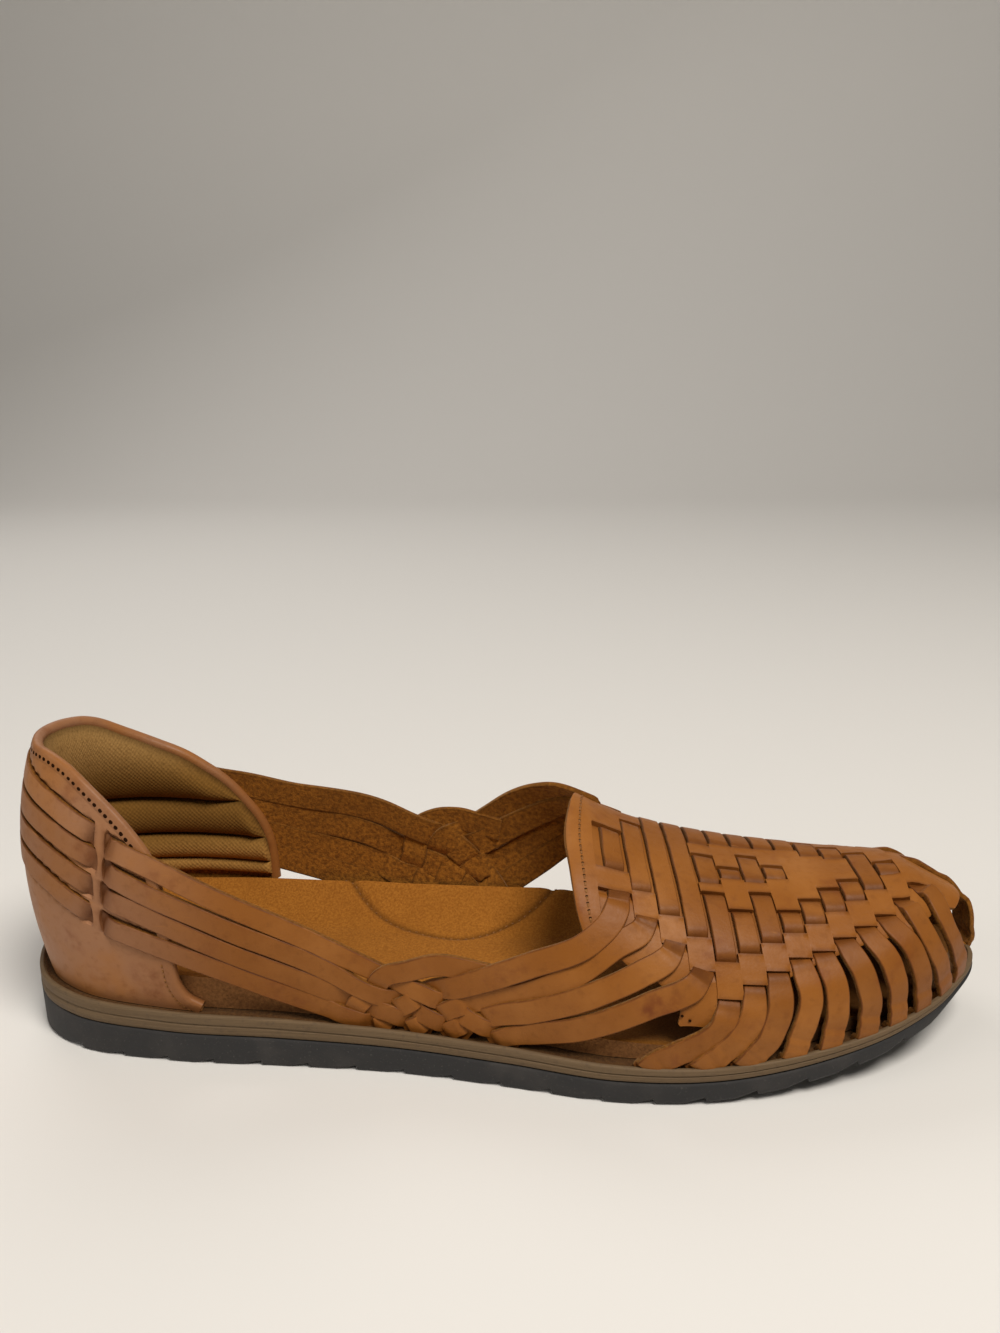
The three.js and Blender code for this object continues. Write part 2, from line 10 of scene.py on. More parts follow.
import bpy
import numpy as np
from mathutils import Matrix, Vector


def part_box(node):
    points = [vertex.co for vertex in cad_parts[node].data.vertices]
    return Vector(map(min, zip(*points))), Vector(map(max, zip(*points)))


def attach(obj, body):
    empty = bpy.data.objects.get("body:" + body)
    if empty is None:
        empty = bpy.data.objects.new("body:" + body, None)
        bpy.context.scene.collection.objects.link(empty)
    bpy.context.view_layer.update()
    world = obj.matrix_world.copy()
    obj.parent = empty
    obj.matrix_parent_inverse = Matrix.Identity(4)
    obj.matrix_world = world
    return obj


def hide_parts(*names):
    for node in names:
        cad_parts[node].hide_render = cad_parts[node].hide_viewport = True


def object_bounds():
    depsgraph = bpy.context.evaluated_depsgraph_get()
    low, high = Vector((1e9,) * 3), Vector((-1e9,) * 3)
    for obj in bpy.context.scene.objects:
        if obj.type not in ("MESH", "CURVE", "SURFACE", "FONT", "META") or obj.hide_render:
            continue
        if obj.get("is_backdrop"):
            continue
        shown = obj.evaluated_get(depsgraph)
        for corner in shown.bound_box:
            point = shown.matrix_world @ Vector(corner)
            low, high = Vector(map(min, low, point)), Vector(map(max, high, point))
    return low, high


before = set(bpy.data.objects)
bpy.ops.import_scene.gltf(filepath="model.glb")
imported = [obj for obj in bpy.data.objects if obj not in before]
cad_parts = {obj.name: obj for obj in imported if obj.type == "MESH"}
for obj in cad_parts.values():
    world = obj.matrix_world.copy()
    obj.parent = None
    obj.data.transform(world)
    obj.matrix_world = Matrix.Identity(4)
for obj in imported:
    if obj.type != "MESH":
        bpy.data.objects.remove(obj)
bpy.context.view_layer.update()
MM = 0.001
print("solids:", sorted(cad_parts))

# %% [markdown]
# ## The last
# A shoemaker stretches leather over a last, a solid foot shape. Here the last is a table of sections
# from heel to toe, joined by smooth curves. A place on it is a pair (s, a): s runs from 0 at the heel
# to 1 at the toe, and a runs over the top from -1 at the outer foot edge to 1 at the inner one.
# Sizes in this table are millimetres from the back of the heel.

# %% Sections of the last
# along, x, lateral edge, medial edge, rim height, ridge x, ridge y, ridge height, power, bulge, spring
STATIONS = np.array([
    [0.00, 0, 0, 0, 19, 46, 0, 130, 1, 9.4, 0],
    [0.06, 6.5, -19, 18.5, 18, 47, 0, 129, 1, 9, 0],
    [0.12, 21, -29.5, 28.5, 17, 50, 0, 126, 1, 7, 0],
    [0.20, 48, -34, 33.5, 15.5, 60, 0, 118, 1, 5, 0],
    [0.30, 82, -34.5, 33.5, 14.5, 84, 0, 104, 1, 3.5, 0],
    [0.40, 114, -35.5, 32.5, 13, 114, 0, 90, 0.95, 2.5, 0],
    [0.50, 144, -39.5, 33.5, 12, 144, 1.5, 75.5, 0.92, 2, 0],
    [0.60, 173, -44, 37, 10.8, 172, 4.5, 59, 0.9, 2.5, 0],
    [0.70, 202, -42.5, 42.8, 10.8, 198, 6.5, 50.3, 0.86, 3, 1.2],
    [0.79, 228, -35.5, 44.4, 12.8, 219, 7, 46.5, 0.82, 3, 4.4],
    [0.87, 249, -25.5, 39.5, 15.6, 234, 6.5, 45.3, 0.77, 3, 8.4],
    [0.94, 265, -11.5, 28.4, 18.2, 241, 6, 45, 0.73, 3, 12.6],
    [1.00, 274, 5.5, 5.5, 20.5, 243, 5.5, 45, 0.7, 3, 15.3],
])
# the upper's foot stands this far in from the sole's edge, in a recess of the midsole
SOLE_MARGIN, RECESS_DEPTH = 3.7, 1.2
# room between two solids, and thickness of the upper
GAP, WALL = 0.3, 2.0
# how fast the bulge of a section comes and goes on the way up
BULGE_RATE = 1.35


def smooth(knots, values):
    """A smooth curve through values at the knots, as a function of any array."""
    k, v = np.asarray(knots, float), np.asarray(values, float)
    gap = np.diff(k).reshape(-1, *[1] * (v.ndim - 1))
    slope = np.diff(v, axis=0) / gap
    lean = (slope[1:] * gap[:-1] + slope[:-1] * gap[1:]) / (gap[:-1] + gap[1:])

    def at(t):
        t = np.asarray(t, float)
        i = np.clip(np.searchsorted(k, t, side="right") - 1, 1, len(k) - 3)
        shape = t.shape + (1,) * (v.ndim - 1)
        h = (k[i + 1] - k[i]).reshape(shape)
        u = (t - k[i]).reshape(shape) / h
        return ((2 * u**3 - 3 * u**2 + 1) * v[i] + (u**3 - 2 * u**2 + u) * h * lean[i - 1]
                + (3 * u**2 - 2 * u**3) * v[i + 1] + (u**3 - u**2) * h * lean[i])
    return at


def carried_on(knots, values):
    """The same through an open table, whose ends are carried on in line."""
    k, v = np.asarray(knots, float), np.asarray(values, float)
    k = np.concatenate([[2 * k[0] - k[1]], k, [2 * k[-1] - k[-2]]])
    v = np.concatenate([[2 * v[0] - v[1]], v, [2 * v[-1] - v[-2]]])
    return smooth(k, v)


def column(i, other=None):
    """A column of the table along the shoe; past heel and toe it goes on along the other side."""
    along, near = STATIONS[:, 0], STATIONS[:, i]
    far = near if other is None else STATIONS[:, other]
    knots = [-along[2], -along[1], *along, 2 - along[-2], 2 - along[-3]]
    return smooth(knots, [far[2], far[1], *near, far[-2], far[-3]])


x_at, lateral_at, medial_at, rim_at = column(1), column(2, 3), column(3, 2), column(4)
ridge_x, ridge_y, ridge_z = column(5), column(6), column(7)
power_at, bulge_at, spring_column = column(8), column(9), column(10)
print("last:", len(STATIONS), "sections")

# %% Places on the last


def unit(v):
    return v / np.maximum(np.linalg.norm(v, axis=-1, keepdims=True), 1e-9)


def distances(points):
    """Distance along a line of points, from its first one."""
    return np.concatenate([[0], np.cumsum(np.linalg.norm(np.diff(points, axis=0), axis=1))])


def spring_at(s):
    return np.maximum(0, spring_column(s))


def foot_height(s):
    return rim_at(s) - RECESS_DEPTH + GAP


def sole_edge(s, side, inset=0.0):
    """Edge of the sole in plan, moved inwards; side is -1 lateral and 1 medial."""
    s, side = np.broadcast_arrays(np.asarray(s, float), np.asarray(side, float))

    def edge(t):
        return np.stack([x_at(t), np.where(side < 0, lateral_at(t), medial_at(t))], -1)
    run = unit(edge(s + 1e-3) - edge(s - 1e-3))
    inward = np.stack([run[..., 1], -run[..., 0]], -1) * side[..., None]
    return edge(s) + inward * np.asarray(inset, float)[..., None]


def last_point(s, a):
    s, a = np.broadcast_arrays(np.asarray(s, float), np.asarray(a, float))
    rise = np.clip(1 - np.abs(a), 0, 1)
    turn, power = rise * np.pi / 2, power_at(s)
    foot = sole_edge(s, np.where(a < 0, -1.0, 1.0), SOLE_MARGIN)
    to_ridge = np.stack([ridge_x(s), ridge_y(s)], -1) - foot
    swell = bulge_at(s) * np.sin(np.pi * np.minimum(1, BULGE_RATE * rise)) * (1 - rise)
    inward = 1 - np.maximum(0, np.cos(turn)) ** power
    share = inward - swell / np.linalg.norm(to_ridge, axis=-1)
    low = foot_height(s)
    z = low + (ridge_z(s) - low) * np.maximum(0, np.sin(turn)) ** power
    return np.concatenate([foot + to_ridge * share[..., None], z[..., None]], -1)


def last_normal(s, a, step=2e-3):
    s, a = np.asarray(s, float), np.asarray(a, float)
    along = last_point(s + step, a) - last_point(s - step, a)
    across = last_point(s, np.minimum(1, a + step)) - last_point(s, np.maximum(-1, a - step))
    return unit(np.cross(along, across))


def at_height(s, side, z):
    """a at a height on one side of the last."""
    share = np.clip((z - foot_height(s)) / (ridge_z(s) - foot_height(s)), 0, 1)
    return side * (1 - np.arcsin(share ** (1 / power_at(s))) * 2 / np.pi)


outsole_corner = np.array(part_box("outsole")[0]) / MM
widest = lateral_at(np.linspace(0, 1, 400)).min()
SHIFT = np.array([outsole_corner[0], outsole_corner[1] - widest, 0])
print("last to frame, mm:", np.round(SHIFT, 2))

# %% [markdown]
# ## Joined meshes
# Many small pieces, such as stitches or straps, are quicker as one mesh than as hundreds of objects.
# A Joined collects points, faces, a finish for each face and a few marks for each point. A mark is a
# number that the shader reads back, such as how near a point is to a strap's edge.

# %% A collector for meshes
# painted shade: one mark darkens the colour round slits and slots, in the footbed's seam and in the
# lining's creases
MARKS = ("edge", "dive", "tone", "run", "level")
CRISP = math.radians(45)


class Joined:
    def __init__(self):
        self.points, self.faces, self.finish = [], [], []
        self.marks = {name: [] for name in MARKS}
        self.count = 0

    def add(self, points, faces, finish=0, **marks):
        points = np.asarray(points, float).reshape(-1, 3)
        finish = np.broadcast_to(finish, len(faces))
        self.points.append(points)
        self.faces.extend([[int(i) + self.count for i in face] for face in faces])
        self.finish.extend(int(f) for f in finish)
        for name in MARKS:
            mark = np.broadcast_to(np.asarray(marks.get(name, 0.0), float).reshape(-1), len(points))
            self.marks[name].append(mark)
        self.count += len(points)

    def place(self, name, finishes, node=None, slot=None):
        """Makes the object, in metres in the frame, riding on the shoe."""
        mesh = bpy.data.meshes.new(name)
        points = (np.concatenate(self.points) + SHIFT) * MM
        mesh.from_pydata(points.tolist(), [], self.faces)
        for mark, values in self.marks.items():
            layer = mesh.attributes.new(mark, "FLOAT", "POINT")
            layer.data.foreach_set("value", np.concatenate(values).astype(np.float32))
        for finish in finishes:
            mesh.materials.append(finish)
        mesh.polygons.foreach_set("material_index", np.array(self.finish, np.int32))
        mesh.polygons.foreach_set("use_smooth", np.ones(len(mesh.polygons), bool))
        mesh.validate()
        mesh.set_sharp_from_angle(angle=CRISP)
        mesh.update()
        piece = bpy.data.objects.new(name, mesh)
        bpy.context.scene.collection.objects.link(piece)
        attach(piece, "root")
        if node:
            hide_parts(node)
        mesh.calc_loop_triangles()
        print(f"{name}: {len(mesh.vertices)} points, {len(mesh.loop_triangles)} triangles")
        return piece


print("marks:", MARKS)

# %% Grids, tubes and sheets


def grid_faces(ids):
    """Quads between neighbours in a grid of point numbers."""
    return np.stack([ids[:-1, :-1], ids[1:, :-1], ids[1:, 1:], ids[:-1, 1:]], -1).reshape(-1, 4)


def tube_faces(rings, count, flip=False):
    """Faces of a tube: rings of count points each, then its two end caps."""
    ids = np.arange(rings * count).reshape(rings, count)
    after = np.roll(ids, -1, axis=1)
    corners, caps = [ids[:-1], ids[1:], after[1:], after[:-1]], [ids[0], ids[-1][::-1]]
    if flip:
        corners, caps = corners[:1] + corners[:0:-1], [cap[::-1] for cap in caps]
    return [*np.stack(corners, -1).reshape(-1, 4), *caps]


def add_sheet(joined, outer, inner, finishes=(0, 1), cut=None, **marks):
    """A closed sheet from two grids of points; finishes are for the outer face and the rest. Where cut
    gives the first and last column of each row, the columns outside them are left out."""
    rows, columns = outer.shape[:2]
    first, last = cut or (np.zeros(rows, int), np.full(rows, columns - 1))
    kept = np.clip(np.arange(columns), first[:, None], last[:, None])
    used, ids = np.unique(np.arange(rows)[:, None] * columns + kept, return_inverse=True)
    ids, count = ids.reshape(rows, columns), len(used)
    front = [list(dict.fromkeys(quad)) for quad in grid_faces(ids).tolist()]
    front = [face for face in front if len(face) > 2]
    loop = np.concatenate([ids[:-1, 0], ids[-1, :-1], ids[:0:-1, -1], ids[0, :0:-1]])
    loop = loop[loop != np.roll(loop, 1)]
    after = np.roll(loop, -1)
    rim = np.stack([after, loop, loop + count, after + count], -1).tolist()
    faces = front + [[v + count for v in face[::-1]] for face in front] + rim
    top, under = outer.reshape(-1, 3)[used], inner.reshape(-1, 3)[used]
    middle = front[len(front) // 2][:3]
    a, b, c = top[middle]
    if np.dot(np.cross(b - a, c - a), (top - under)[middle[0]]) < 0:
        faces = [face[::-1] for face in faces]
    finish = np.full(len(faces), finishes[1])
    finish[:len(front)] = finishes[0]
    doubled = {name: np.tile(np.broadcast_to(mark, (rows, columns)).reshape(-1)[used], 2)
               for name, mark in marks.items()}
    joined.add(np.concatenate([top, under]), faces, finish, **doubled)


print("a tube of 3 rings of 4 points has", len(tube_faces(3, 4)), "faces")

# %% [markdown]
# ## Finishes
# Leather, suede, cloth and rubber have no pattern that repeats, so they come from noise at several
# sizes: large for uneven dye, small for grain. The same noise bends the surface a little (bump) and
# changes how glossy it is. A small helper keeps the node trees short. Coordinates are metres, so a
# noise scale of 1000 makes spots of about a millimetre.

# %% A helper for node trees


class Finish:
    def __init__(self, name, **shader):
        self.material = bpy.data.materials.new(name)
        self.material.use_nodes = True
        self.tree = self.material.node_tree
        self.shader = self.tree.nodes["Principled BSDF"]
        for socket, value in shader.items():
            self.shader.inputs[socket.replace("_", " ")].default_value = value
        self.place = self.node("ShaderNodeTexCoord").outputs["Object"]

    def put(self, socket, value):
        """Links a socket to another one, or sets its value."""
        if isinstance(value, bpy.types.NodeSocket):
            self.tree.links.new(value, socket)
        else:
            socket.default_value = value

    def node(self, kind, settings=None, **inputs):
        """A node; its inputs go by name, or as _0, _1 and so on by number."""
        node = self.tree.nodes.new(kind)
        for key, value in (settings or {}).items():
            setattr(node, key, value)
        for key, value in inputs.items():
            self.put(node.inputs[int(key[1:]) if key[1:].isdigit() else key.replace("_", " ")], value)
        return node

    def noise(self, scale, detail=3.0, roughness=0.55, place=None):
        return self.node("ShaderNodeTexNoise", Vector=place or self.place, Scale=scale,
                         Detail=detail, Roughness=roughness).outputs["Fac"]

    def cells(self, scale):
        return self.node("ShaderNodeTexVoronoi", Vector=self.place, Scale=scale).outputs["Distance"]

    def mark(self, name):
        return self.node("ShaderNodeAttribute", {"attribute_name": name}).outputs["Fac"]

    def along(self):
        """Metres along the shoe, positive towards the toe."""
        return self.node("ShaderNodeSeparateXYZ", Vector=self.place).outputs["X"]

    def stretched(self, x, y, z):
        """Coordinates drawn out along an axis, for streaks."""
        return self.node("ShaderNodeMapping", Vector=self.place, Scale=(x, y, z)).outputs["Vector"]

    def sums(self, operation, a, b=0.0, c=0.0):
        return self.node("ShaderNodeMath", {"operation": operation}, _0=a, _1=b, _2=c).outputs[0]

    def times(self, a, b):
        return self.sums("MULTIPLY", a, b)

    def spread(self, value, low, high, to_low=0.0, to_high=1.0):
        """value from low..high to to_low..to_high, smoothly."""
        return self.node("ShaderNodeMapRange", {"interpolation_type": "SMOOTHSTEP"}, Value=value,
                         From_Min=low, From_Max=high, To_Min=to_low, To_Max=to_high).outputs[0]

    def mix(self, share, a, b):
        node = self.node("ShaderNodeMix", {"data_type": "RGBA"}, Factor=share)
        for socket, value in ((node.inputs[6], a), (node.inputs[7], b)):
            self.put(socket, value if isinstance(value, bpy.types.NodeSocket) else (*value, 1.0))
        return node.outputs[2]

    def bump(self, height, depth, strength=1.0, over=None):
        """Bump whose full height is depth millimetres."""
        node = self.node("ShaderNodeBump", Height=height, Strength=strength, Distance=depth * MM)
        if over:
            self.put(node.inputs["Normal"], over)
        return node.outputs["Normal"]

    def finish(self, colour=None, roughness=None, normal=None):
        for name, value in (("Base Color", colour), ("Roughness", roughness), ("Normal", normal)):
            if value is not None:
                self.put(self.shader.inputs[name], value)
        return self.material


print("node helper:", [name for name in vars(Finish) if not name.startswith("_")])

# %% [markdown]
# ### Leather
# Vegetable-tanned leather is uneven: darker where it is cut, paler on the proud middle of a strap, and
# pinker round this heel than on the toe. Round each slit and slot it is painted darker and redder, as
# painted shade where a strap goes in. The marks on the meshes say where those places are, and noise
# breaks them up so that no strap looks printed.

# %% Leather, suede and cut edges
TAN, TAN_PALE, TAN_DARK = (0.275, 0.094, 0.014), (0.37, 0.142, 0.03), (0.10, 0.028, 0.005)
HEEL_TAN = (0.345, 0.162, 0.077)
STAIN, RUBBED = (0.15, 0.036, 0.008), (0.13, 0.03, 0.008)
SUEDE, SUEDE_DARK = (0.4, 0.152, 0.017), (0.165, 0.057, 0.0065)
# metres along the shoe where the heel's pinker leather starts, and where it is full
HEEL_FROM, HEEL_FULL = -0.062, -0.104
# length over which suede gets darker towards the toe, as painted shade under the vamp
TOE_SHADE_RUN = 0.038
# rubbed places: middle in mm on the last, and radius
SCUFFS = [((185.4, -40.5, 27.5), 6.5), ((181.1, -41.1, 25.7), 3.0)]


def shade(colour, share):
    return [share * v for v in colour]


def leather(name, tan, pale, dark, gloss=0.46):
    f = Finish(name, IOR=1.48, Specular_IOR_Level=0.17, Coat_Weight=0.02, Coat_Roughness=0.32)
    cloud, mottle = f.noise(38, 4), f.noise(420, 3)
    colour = f.mix(f.spread(f.along(), HEEL_FROM, HEEL_FULL), tan, HEEL_TAN)
    colour = f.mix(f.spread(cloud, 0.42, 0.72, 0, 0.75), colour, pale)
    toned = f.sums("MULTIPLY_ADD", f.mark("tone"), 0.22, 0.18)
    colour = f.mix(f.sums("MAXIMUM", toned), colour, dark)
    worn = f.times(f.spread(f.mark("edge"), 0.84, 0.98), f.spread(f.noise(160), 0.2, 0.6))
    colour = f.mix(f.times(worn, 0.85), colour, dark)
    # painted shade: darker and redder round slits and slots, where a strap goes in
    slit_shade = f.times(f.mark("dive"), f.spread(f.noise(230), 0.22, 0.6, 0.35, 0.85))
    colour = f.mix(slit_shade, colour, dark)
    colour = f.mix(f.spread(mottle, 0.5, 0.78, 0, 0.22), colour, dark)
    stain = f.times(f.spread(f.noise(85, 4), 0.5, 0.72), f.spread(f.noise(300, 3), 0.3, 0.7))
    colour = f.mix(f.times(stain, 0.5), colour, STAIN)
    scuffs = f.spread(f.noise(900, 2, place=f.stretched(0.12, 1, 1)), 0.66, 0.74, 0, 0.3)
    colour = f.mix(f.times(scuffs, f.spread(f.noise(55), 0.5, 0.66)), colour, pale)
    for middle, radius in SCUFFS:
        away = f.node("ShaderNodeVectorMath", {"operation": "DISTANCE"}, _0=f.place,
                      _1=((np.array(middle) + SHIFT) * MM).tolist()).outputs["Value"]
        rubbed = f.times(f.spread(away, radius * MM, 0.3 * radius * MM),
                         f.spread(f.noise(260, 4), 0.35, 0.65, 0.1, 0.7))
        colour = f.mix(rubbed, colour, RUBBED)
    grain = f.bump(f.cells(1350), 0.05, 0.55)
    soft = f.bump(f.noise(210, 3), 0.22, 0.5, over=grain)
    rough = f.sums("MULTIPLY_ADD", mottle, 0.3, gloss - 0.12)
    return f.finish(colour, rough, soft)


def suede(name, pale, dark, nap=900, strength=0.9, toe_shade_from=None):
    f = Finish(name, Sheen_Weight=0.25, Sheen_Roughness=0.45, Sheen_Tint=(0.75, 0.5, 0.26, 1),
               Specular_IOR_Level=0.15)
    fibres, cloud = f.noise(nap, 5, 0.7), f.noise(60, 4)
    colour = f.mix(f.spread(fibres, 0.32, 0.68), dark, pale)
    colour = f.mix(f.spread(cloud, 0.4, 0.75, 0, 0.4), colour, dark)
    # painted shade: darker round slits and in the footbed's seam
    colour = f.mix(f.times(f.mark("dive"), 0.7), colour, shade(dark, 0.3))
    colour = f.mix(f.spread(f.mark("edge"), 0.8, 0.96, 0, 0.5), colour, shade(dark, 0.4))
    # painted shade: darker towards the toe, where the vamp shades the footbed
    if toe_shade_from is not None:
        worn = f.spread(f.along(), toe_shade_from, toe_shade_from + TOE_SHADE_RUN, 0, 0.75)
        colour = f.mix(worn, colour, shade(dark, 0.25))
    rough = f.spread(fibres, 0.2, 0.8, 0.98, 0.84)
    return f.finish(colour, rough, f.bump(fibres, 0.4, strength))


tan_leather = leather("tan_leather", TAN, TAN_PALE, TAN_DARK)
binding_leather = leather("binding_leather", (0.27, 0.097, 0.02), TAN_PALE, TAN_DARK, 0.42)
strap_suede = suede("strap_suede", SUEDE, SUEDE_DARK, 850, 1.0)
print("finishes:", tan_leather.name, binding_leather.name, strap_suede.name)

# %% [markdown]
# ### Footbed suede, lining cloth, rubber and thread
# The footbed is brushed to a finer nap than the backs of the straps, and is painted darker towards the
# toe as painted shade under the vamp. The heel is lined with a woven cloth, painted paler at its top
# and its foot as painted light, and darker in its quilting creases as painted shade: two crossed waves
# make the threads. The midsole's recess gets a dark suede finish, painted shade under the upper. The
# midsole is rubber with fine lines drawn along it, and the outsole is matt black rubber, dusty where it
# was moulded.

# %% The other finishes
bed_suede = suede("bed_suede", (0.39, 0.15, 0.019), (0.24, 0.082, 0.009), 1500, 0.5, toe_shade_from=0.022)
bed_side = suede("bed_side", (0.33, 0.143, 0.046), (0.19, 0.08, 0.026), 1100, 0.8, toe_shade_from=0.04)
# painted shade: a dark suede for the midsole's recess under the upper
recess_shade = suede("recess_shade", (0.105, 0.046, 0.013), (0.05, 0.021, 0.007), 1100, 0.8)
CLOTH, CLOTH_PALE, CLOTH_FUZZ = (0.18, 0.086, 0.017), (0.225, 0.108, 0.022), (0.09, 0.042, 0.008)
# painted shade for the quilting creases
CLOTH_CREASE_SHADE = (0.035, 0.014, 0.003)
# paler bands of the lining, painted light on its top and on its foot: from and to height in mm, and
# colour
LIT_BANDS = [(60, 80, (0.5, 0.29, 0.1)), (42, 35, (0.48, 0.25, 0.065))]
# waves of the threads, in radians for a millimetre
THREAD_WAVE = 4.4


def lining_cloth():
    f = Finish("lining_cloth", Roughness=0.95, Specular_IOR_Level=0.1)
    up = f.mark("level")
    warp, weft = (f.sums("SINE", f.times(way, THREAD_WAVE)) for way in (f.mark("run"), up))
    weave = f.sums("MULTIPLY_ADD", f.times(warp, weft), 0.5, 0.5)
    fuzz = f.noise(1400, 4, 0.7)
    colour = f.mix(f.spread(weave, 0.1, 0.9), CLOTH, CLOTH_PALE)
    # painted light: paler bands at the top and the foot of the lining
    for start, end, lit_colour in LIT_BANDS:
        colour = f.mix(f.spread(up, start, end, 0, 0.7), colour, lit_colour)
    colour = f.mix(f.spread(fuzz, 0.4, 0.75, 0, 0.5), colour, CLOTH_FUZZ)
    # painted shade: darker in the quilting creases
    colour = f.mix(f.times(f.mark("dive"), 0.7), colour, CLOTH_CREASE_SHADE)
    height = f.sums("MULTIPLY_ADD", fuzz, 0.5, weave)
    return f.finish(colour, None, f.bump(height, 0.2, 0.6))


def midsole_rubber():
    f = Finish("midsole_rubber", Specular_IOR_Level=0.3)
    along = f.node("ShaderNodeCombineXYZ", X=f.times(f.mark("run"), 0.018),
                   Y=f.times(f.mark("level"), 2.2)).outputs[0]
    lines = f.noise(1.4, 4, 0.65, place=along)
    colour = f.mix(f.spread(lines, 0.15, 0.85), (0.095, 0.058, 0.028), (0.165, 0.106, 0.052))
    colour = f.mix(f.spread(f.noise(700, 3), 0.52, 0.75, 0, 0.4), colour, (0.06, 0.038, 0.024))
    colour = f.mix(f.spread(f.noise(24, 3), 0.45, 0.75, 0, 0.35), colour, (0.145, 0.093, 0.05))
    return f.finish(colour, f.spread(lines, 0.2, 0.8, 0.74, 0.6), f.bump(lines, 0.16, 0.6))


def outsole_rubber():
    f = Finish("outsole_rubber", Specular_IOR_Level=0.35)
    dust, specks = f.noise(70, 4), f.noise(1600, 2)
    colour = f.mix(f.spread(dust, 0.42, 0.75, 0, 0.6), (0.022, 0.021, 0.021), (0.056, 0.05, 0.046))
    colour = f.mix(f.spread(specks, 0.62, 0.75, 0, 0.4), colour, (0.1, 0.09, 0.08))
    return f.finish(colour, f.spread(dust, 0.3, 0.7, 0.58, 0.78), f.bump(specks, 0.08, 0.6))


def thread_finish(name, pale, dark):
    f = Finish(name, Specular_IOR_Level=0.2)
    twist = f.noise(2600, 2)
    return f.finish(f.mix(f.spread(twist, 0.35, 0.65), dark, pale), None, f.bump(twist, 0.06, 0.6))


cloth, midsole_finish, outsole_finish = lining_cloth(), midsole_rubber(), outsole_rubber()
thread = thread_finish("tan_thread", (0.3, 0.13, 0.035), (0.15, 0.055, 0.012))
# painted shade: stitch holes are near-black dimples, for the shade inside a hole
hole = Finish("stitch_hole", Roughness=1.0, Specular_IOR_Level=0.0)
hole_shade = hole.finish(hole.mix(hole.noise(1500), (0.006, 0.003, 0.002), (0.03, 0.011, 0.004)))
print("finishes:", len(bpy.data.materials))

# %% [markdown]
# ## Camera, light and floor
# The picture was taken from the outer side, a little above the shoe and slightly turned, with a phone
# held about 30 cm away. The camera is set from those angles; its lens comes from the focal length in
# pixels of a 1000 by 1333 frame. One large warm lamp and two fills give soft shop light, and a pale
# floor that curves up behind the shoe keeps the background plain.

# %% The camera
FRAME_TALL = 1333
FOCAL_PX = 1173.3
CAMERA_AT = np.array([173.8, -305.3, 196.3])
YAW, PITCH, ROLL = (math.radians(angle) for angle in (-6.16, 16.51, -1.41))
SENSOR = 36.0

forward = np.array([math.sin(YAW) * math.cos(PITCH), math.cos(YAW) * math.cos(PITCH), -math.sin(PITCH)])
right = np.array([math.cos(YAW), -math.sin(YAW), 0.0])
upward = np.cross(right, forward)
right, upward = (right * math.cos(ROLL) + upward * math.sin(ROLL),
                 upward * math.cos(ROLL) - right * math.sin(ROLL))
camera = bpy.data.objects.new("camera", bpy.data.cameras.new("camera"))
camera.data.sensor_width = SENSOR
camera.data.lens = FOCAL_PX * SENSOR / FRAME_TALL
camera.data.clip_start, camera.data.clip_end = 0.01, 20
turned = Matrix(np.stack([right, upward, -forward], 1).tolist()).to_4x4()
turned.translation = ((CAMERA_AT + SHIFT) * MM).tolist()
camera.matrix_world = turned
bpy.context.scene.collection.objects.link(camera)
bpy.context.scene.camera = camera
print("lens, mm:", round(camera.data.lens, 2))

# %% Lamps and the floor


def lamp(name, place, size, power, colour, aim=(0.0, 0.0, 0.03)):
    data = bpy.data.lights.new(name, "AREA")
    data.shape, data.size, data.energy, data.color = "DISK", size, power, colour
    obj = bpy.data.objects.new(name, data)
    bpy.context.scene.collection.objects.link(obj)
    back = unit(np.array(place) - np.array(aim))
    side = unit(np.cross([0.0, 0.0, 1.0], back))
    pose = Matrix(np.stack([side, np.cross(back, side), back], 1).tolist()).to_4x4()
    pose.translation = place
    obj.matrix_world = pose


lamp("key", (0.38, -0.5, 1.15), 0.55, 15.5, (1.0, 0.955, 0.89))
lamp("fill", (-0.95, -0.6, 0.65), 0.9, 3.6, (1.0, 0.97, 0.93))
lamp("back", (-0.5, 0.8, 0.9), 0.8, 3.4, (1.0, 0.97, 0.94))
world = bpy.data.worlds.new("soft_room")
world.use_nodes = True
world.node_tree.nodes["Background"].inputs["Color"].default_value = (0.93, 0.89, 0.83, 1)
world.node_tree.nodes["Background"].inputs["Strength"].default_value = 0.12
bpy.context.scene.world = world
bpy.context.scene.view_settings.view_transform = "Standard"

FLOOR_HALF, BEND_AT, BEND, BACK_HIGH = 3.0, 1.0, 0.5, 3.0
curl = np.linspace(0, math.pi / 2, 17)
profile = [(-FLOOR_HALF, 0.0), (BEND_AT, 0.0)]
profile += [(BEND_AT + BEND * math.sin(t), BEND * (1 - math.cos(t))) for t in curl[1:]]
profile.append((BEND_AT + BEND, BACK_HIGH))
floor_points = [(x, y, z) for y, z in profile for x in (-FLOOR_HALF, FLOOR_HALF)]
floor_mesh = bpy.data.meshes.new("floor")
floor_ids = np.arange(len(floor_points)).reshape(-1, 2)
floor_mesh.from_pydata(floor_points, [], grid_faces(floor_ids)[:, ::-1].tolist())
floor_mesh.polygons.foreach_set("use_smooth", np.ones(len(floor_mesh.polygons), bool))
pale = Finish("pale_floor", Base_Color=(0.74, 0.72, 0.69, 1), Roughness=0.75)
floor_mesh.materials.append(pale.finish())
floor = bpy.data.objects.new("floor", floor_mesh)
bpy.context.scene.collection.objects.link(floor)
floor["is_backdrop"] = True
print("floor:", len(floor_mesh.polygons), "faces")

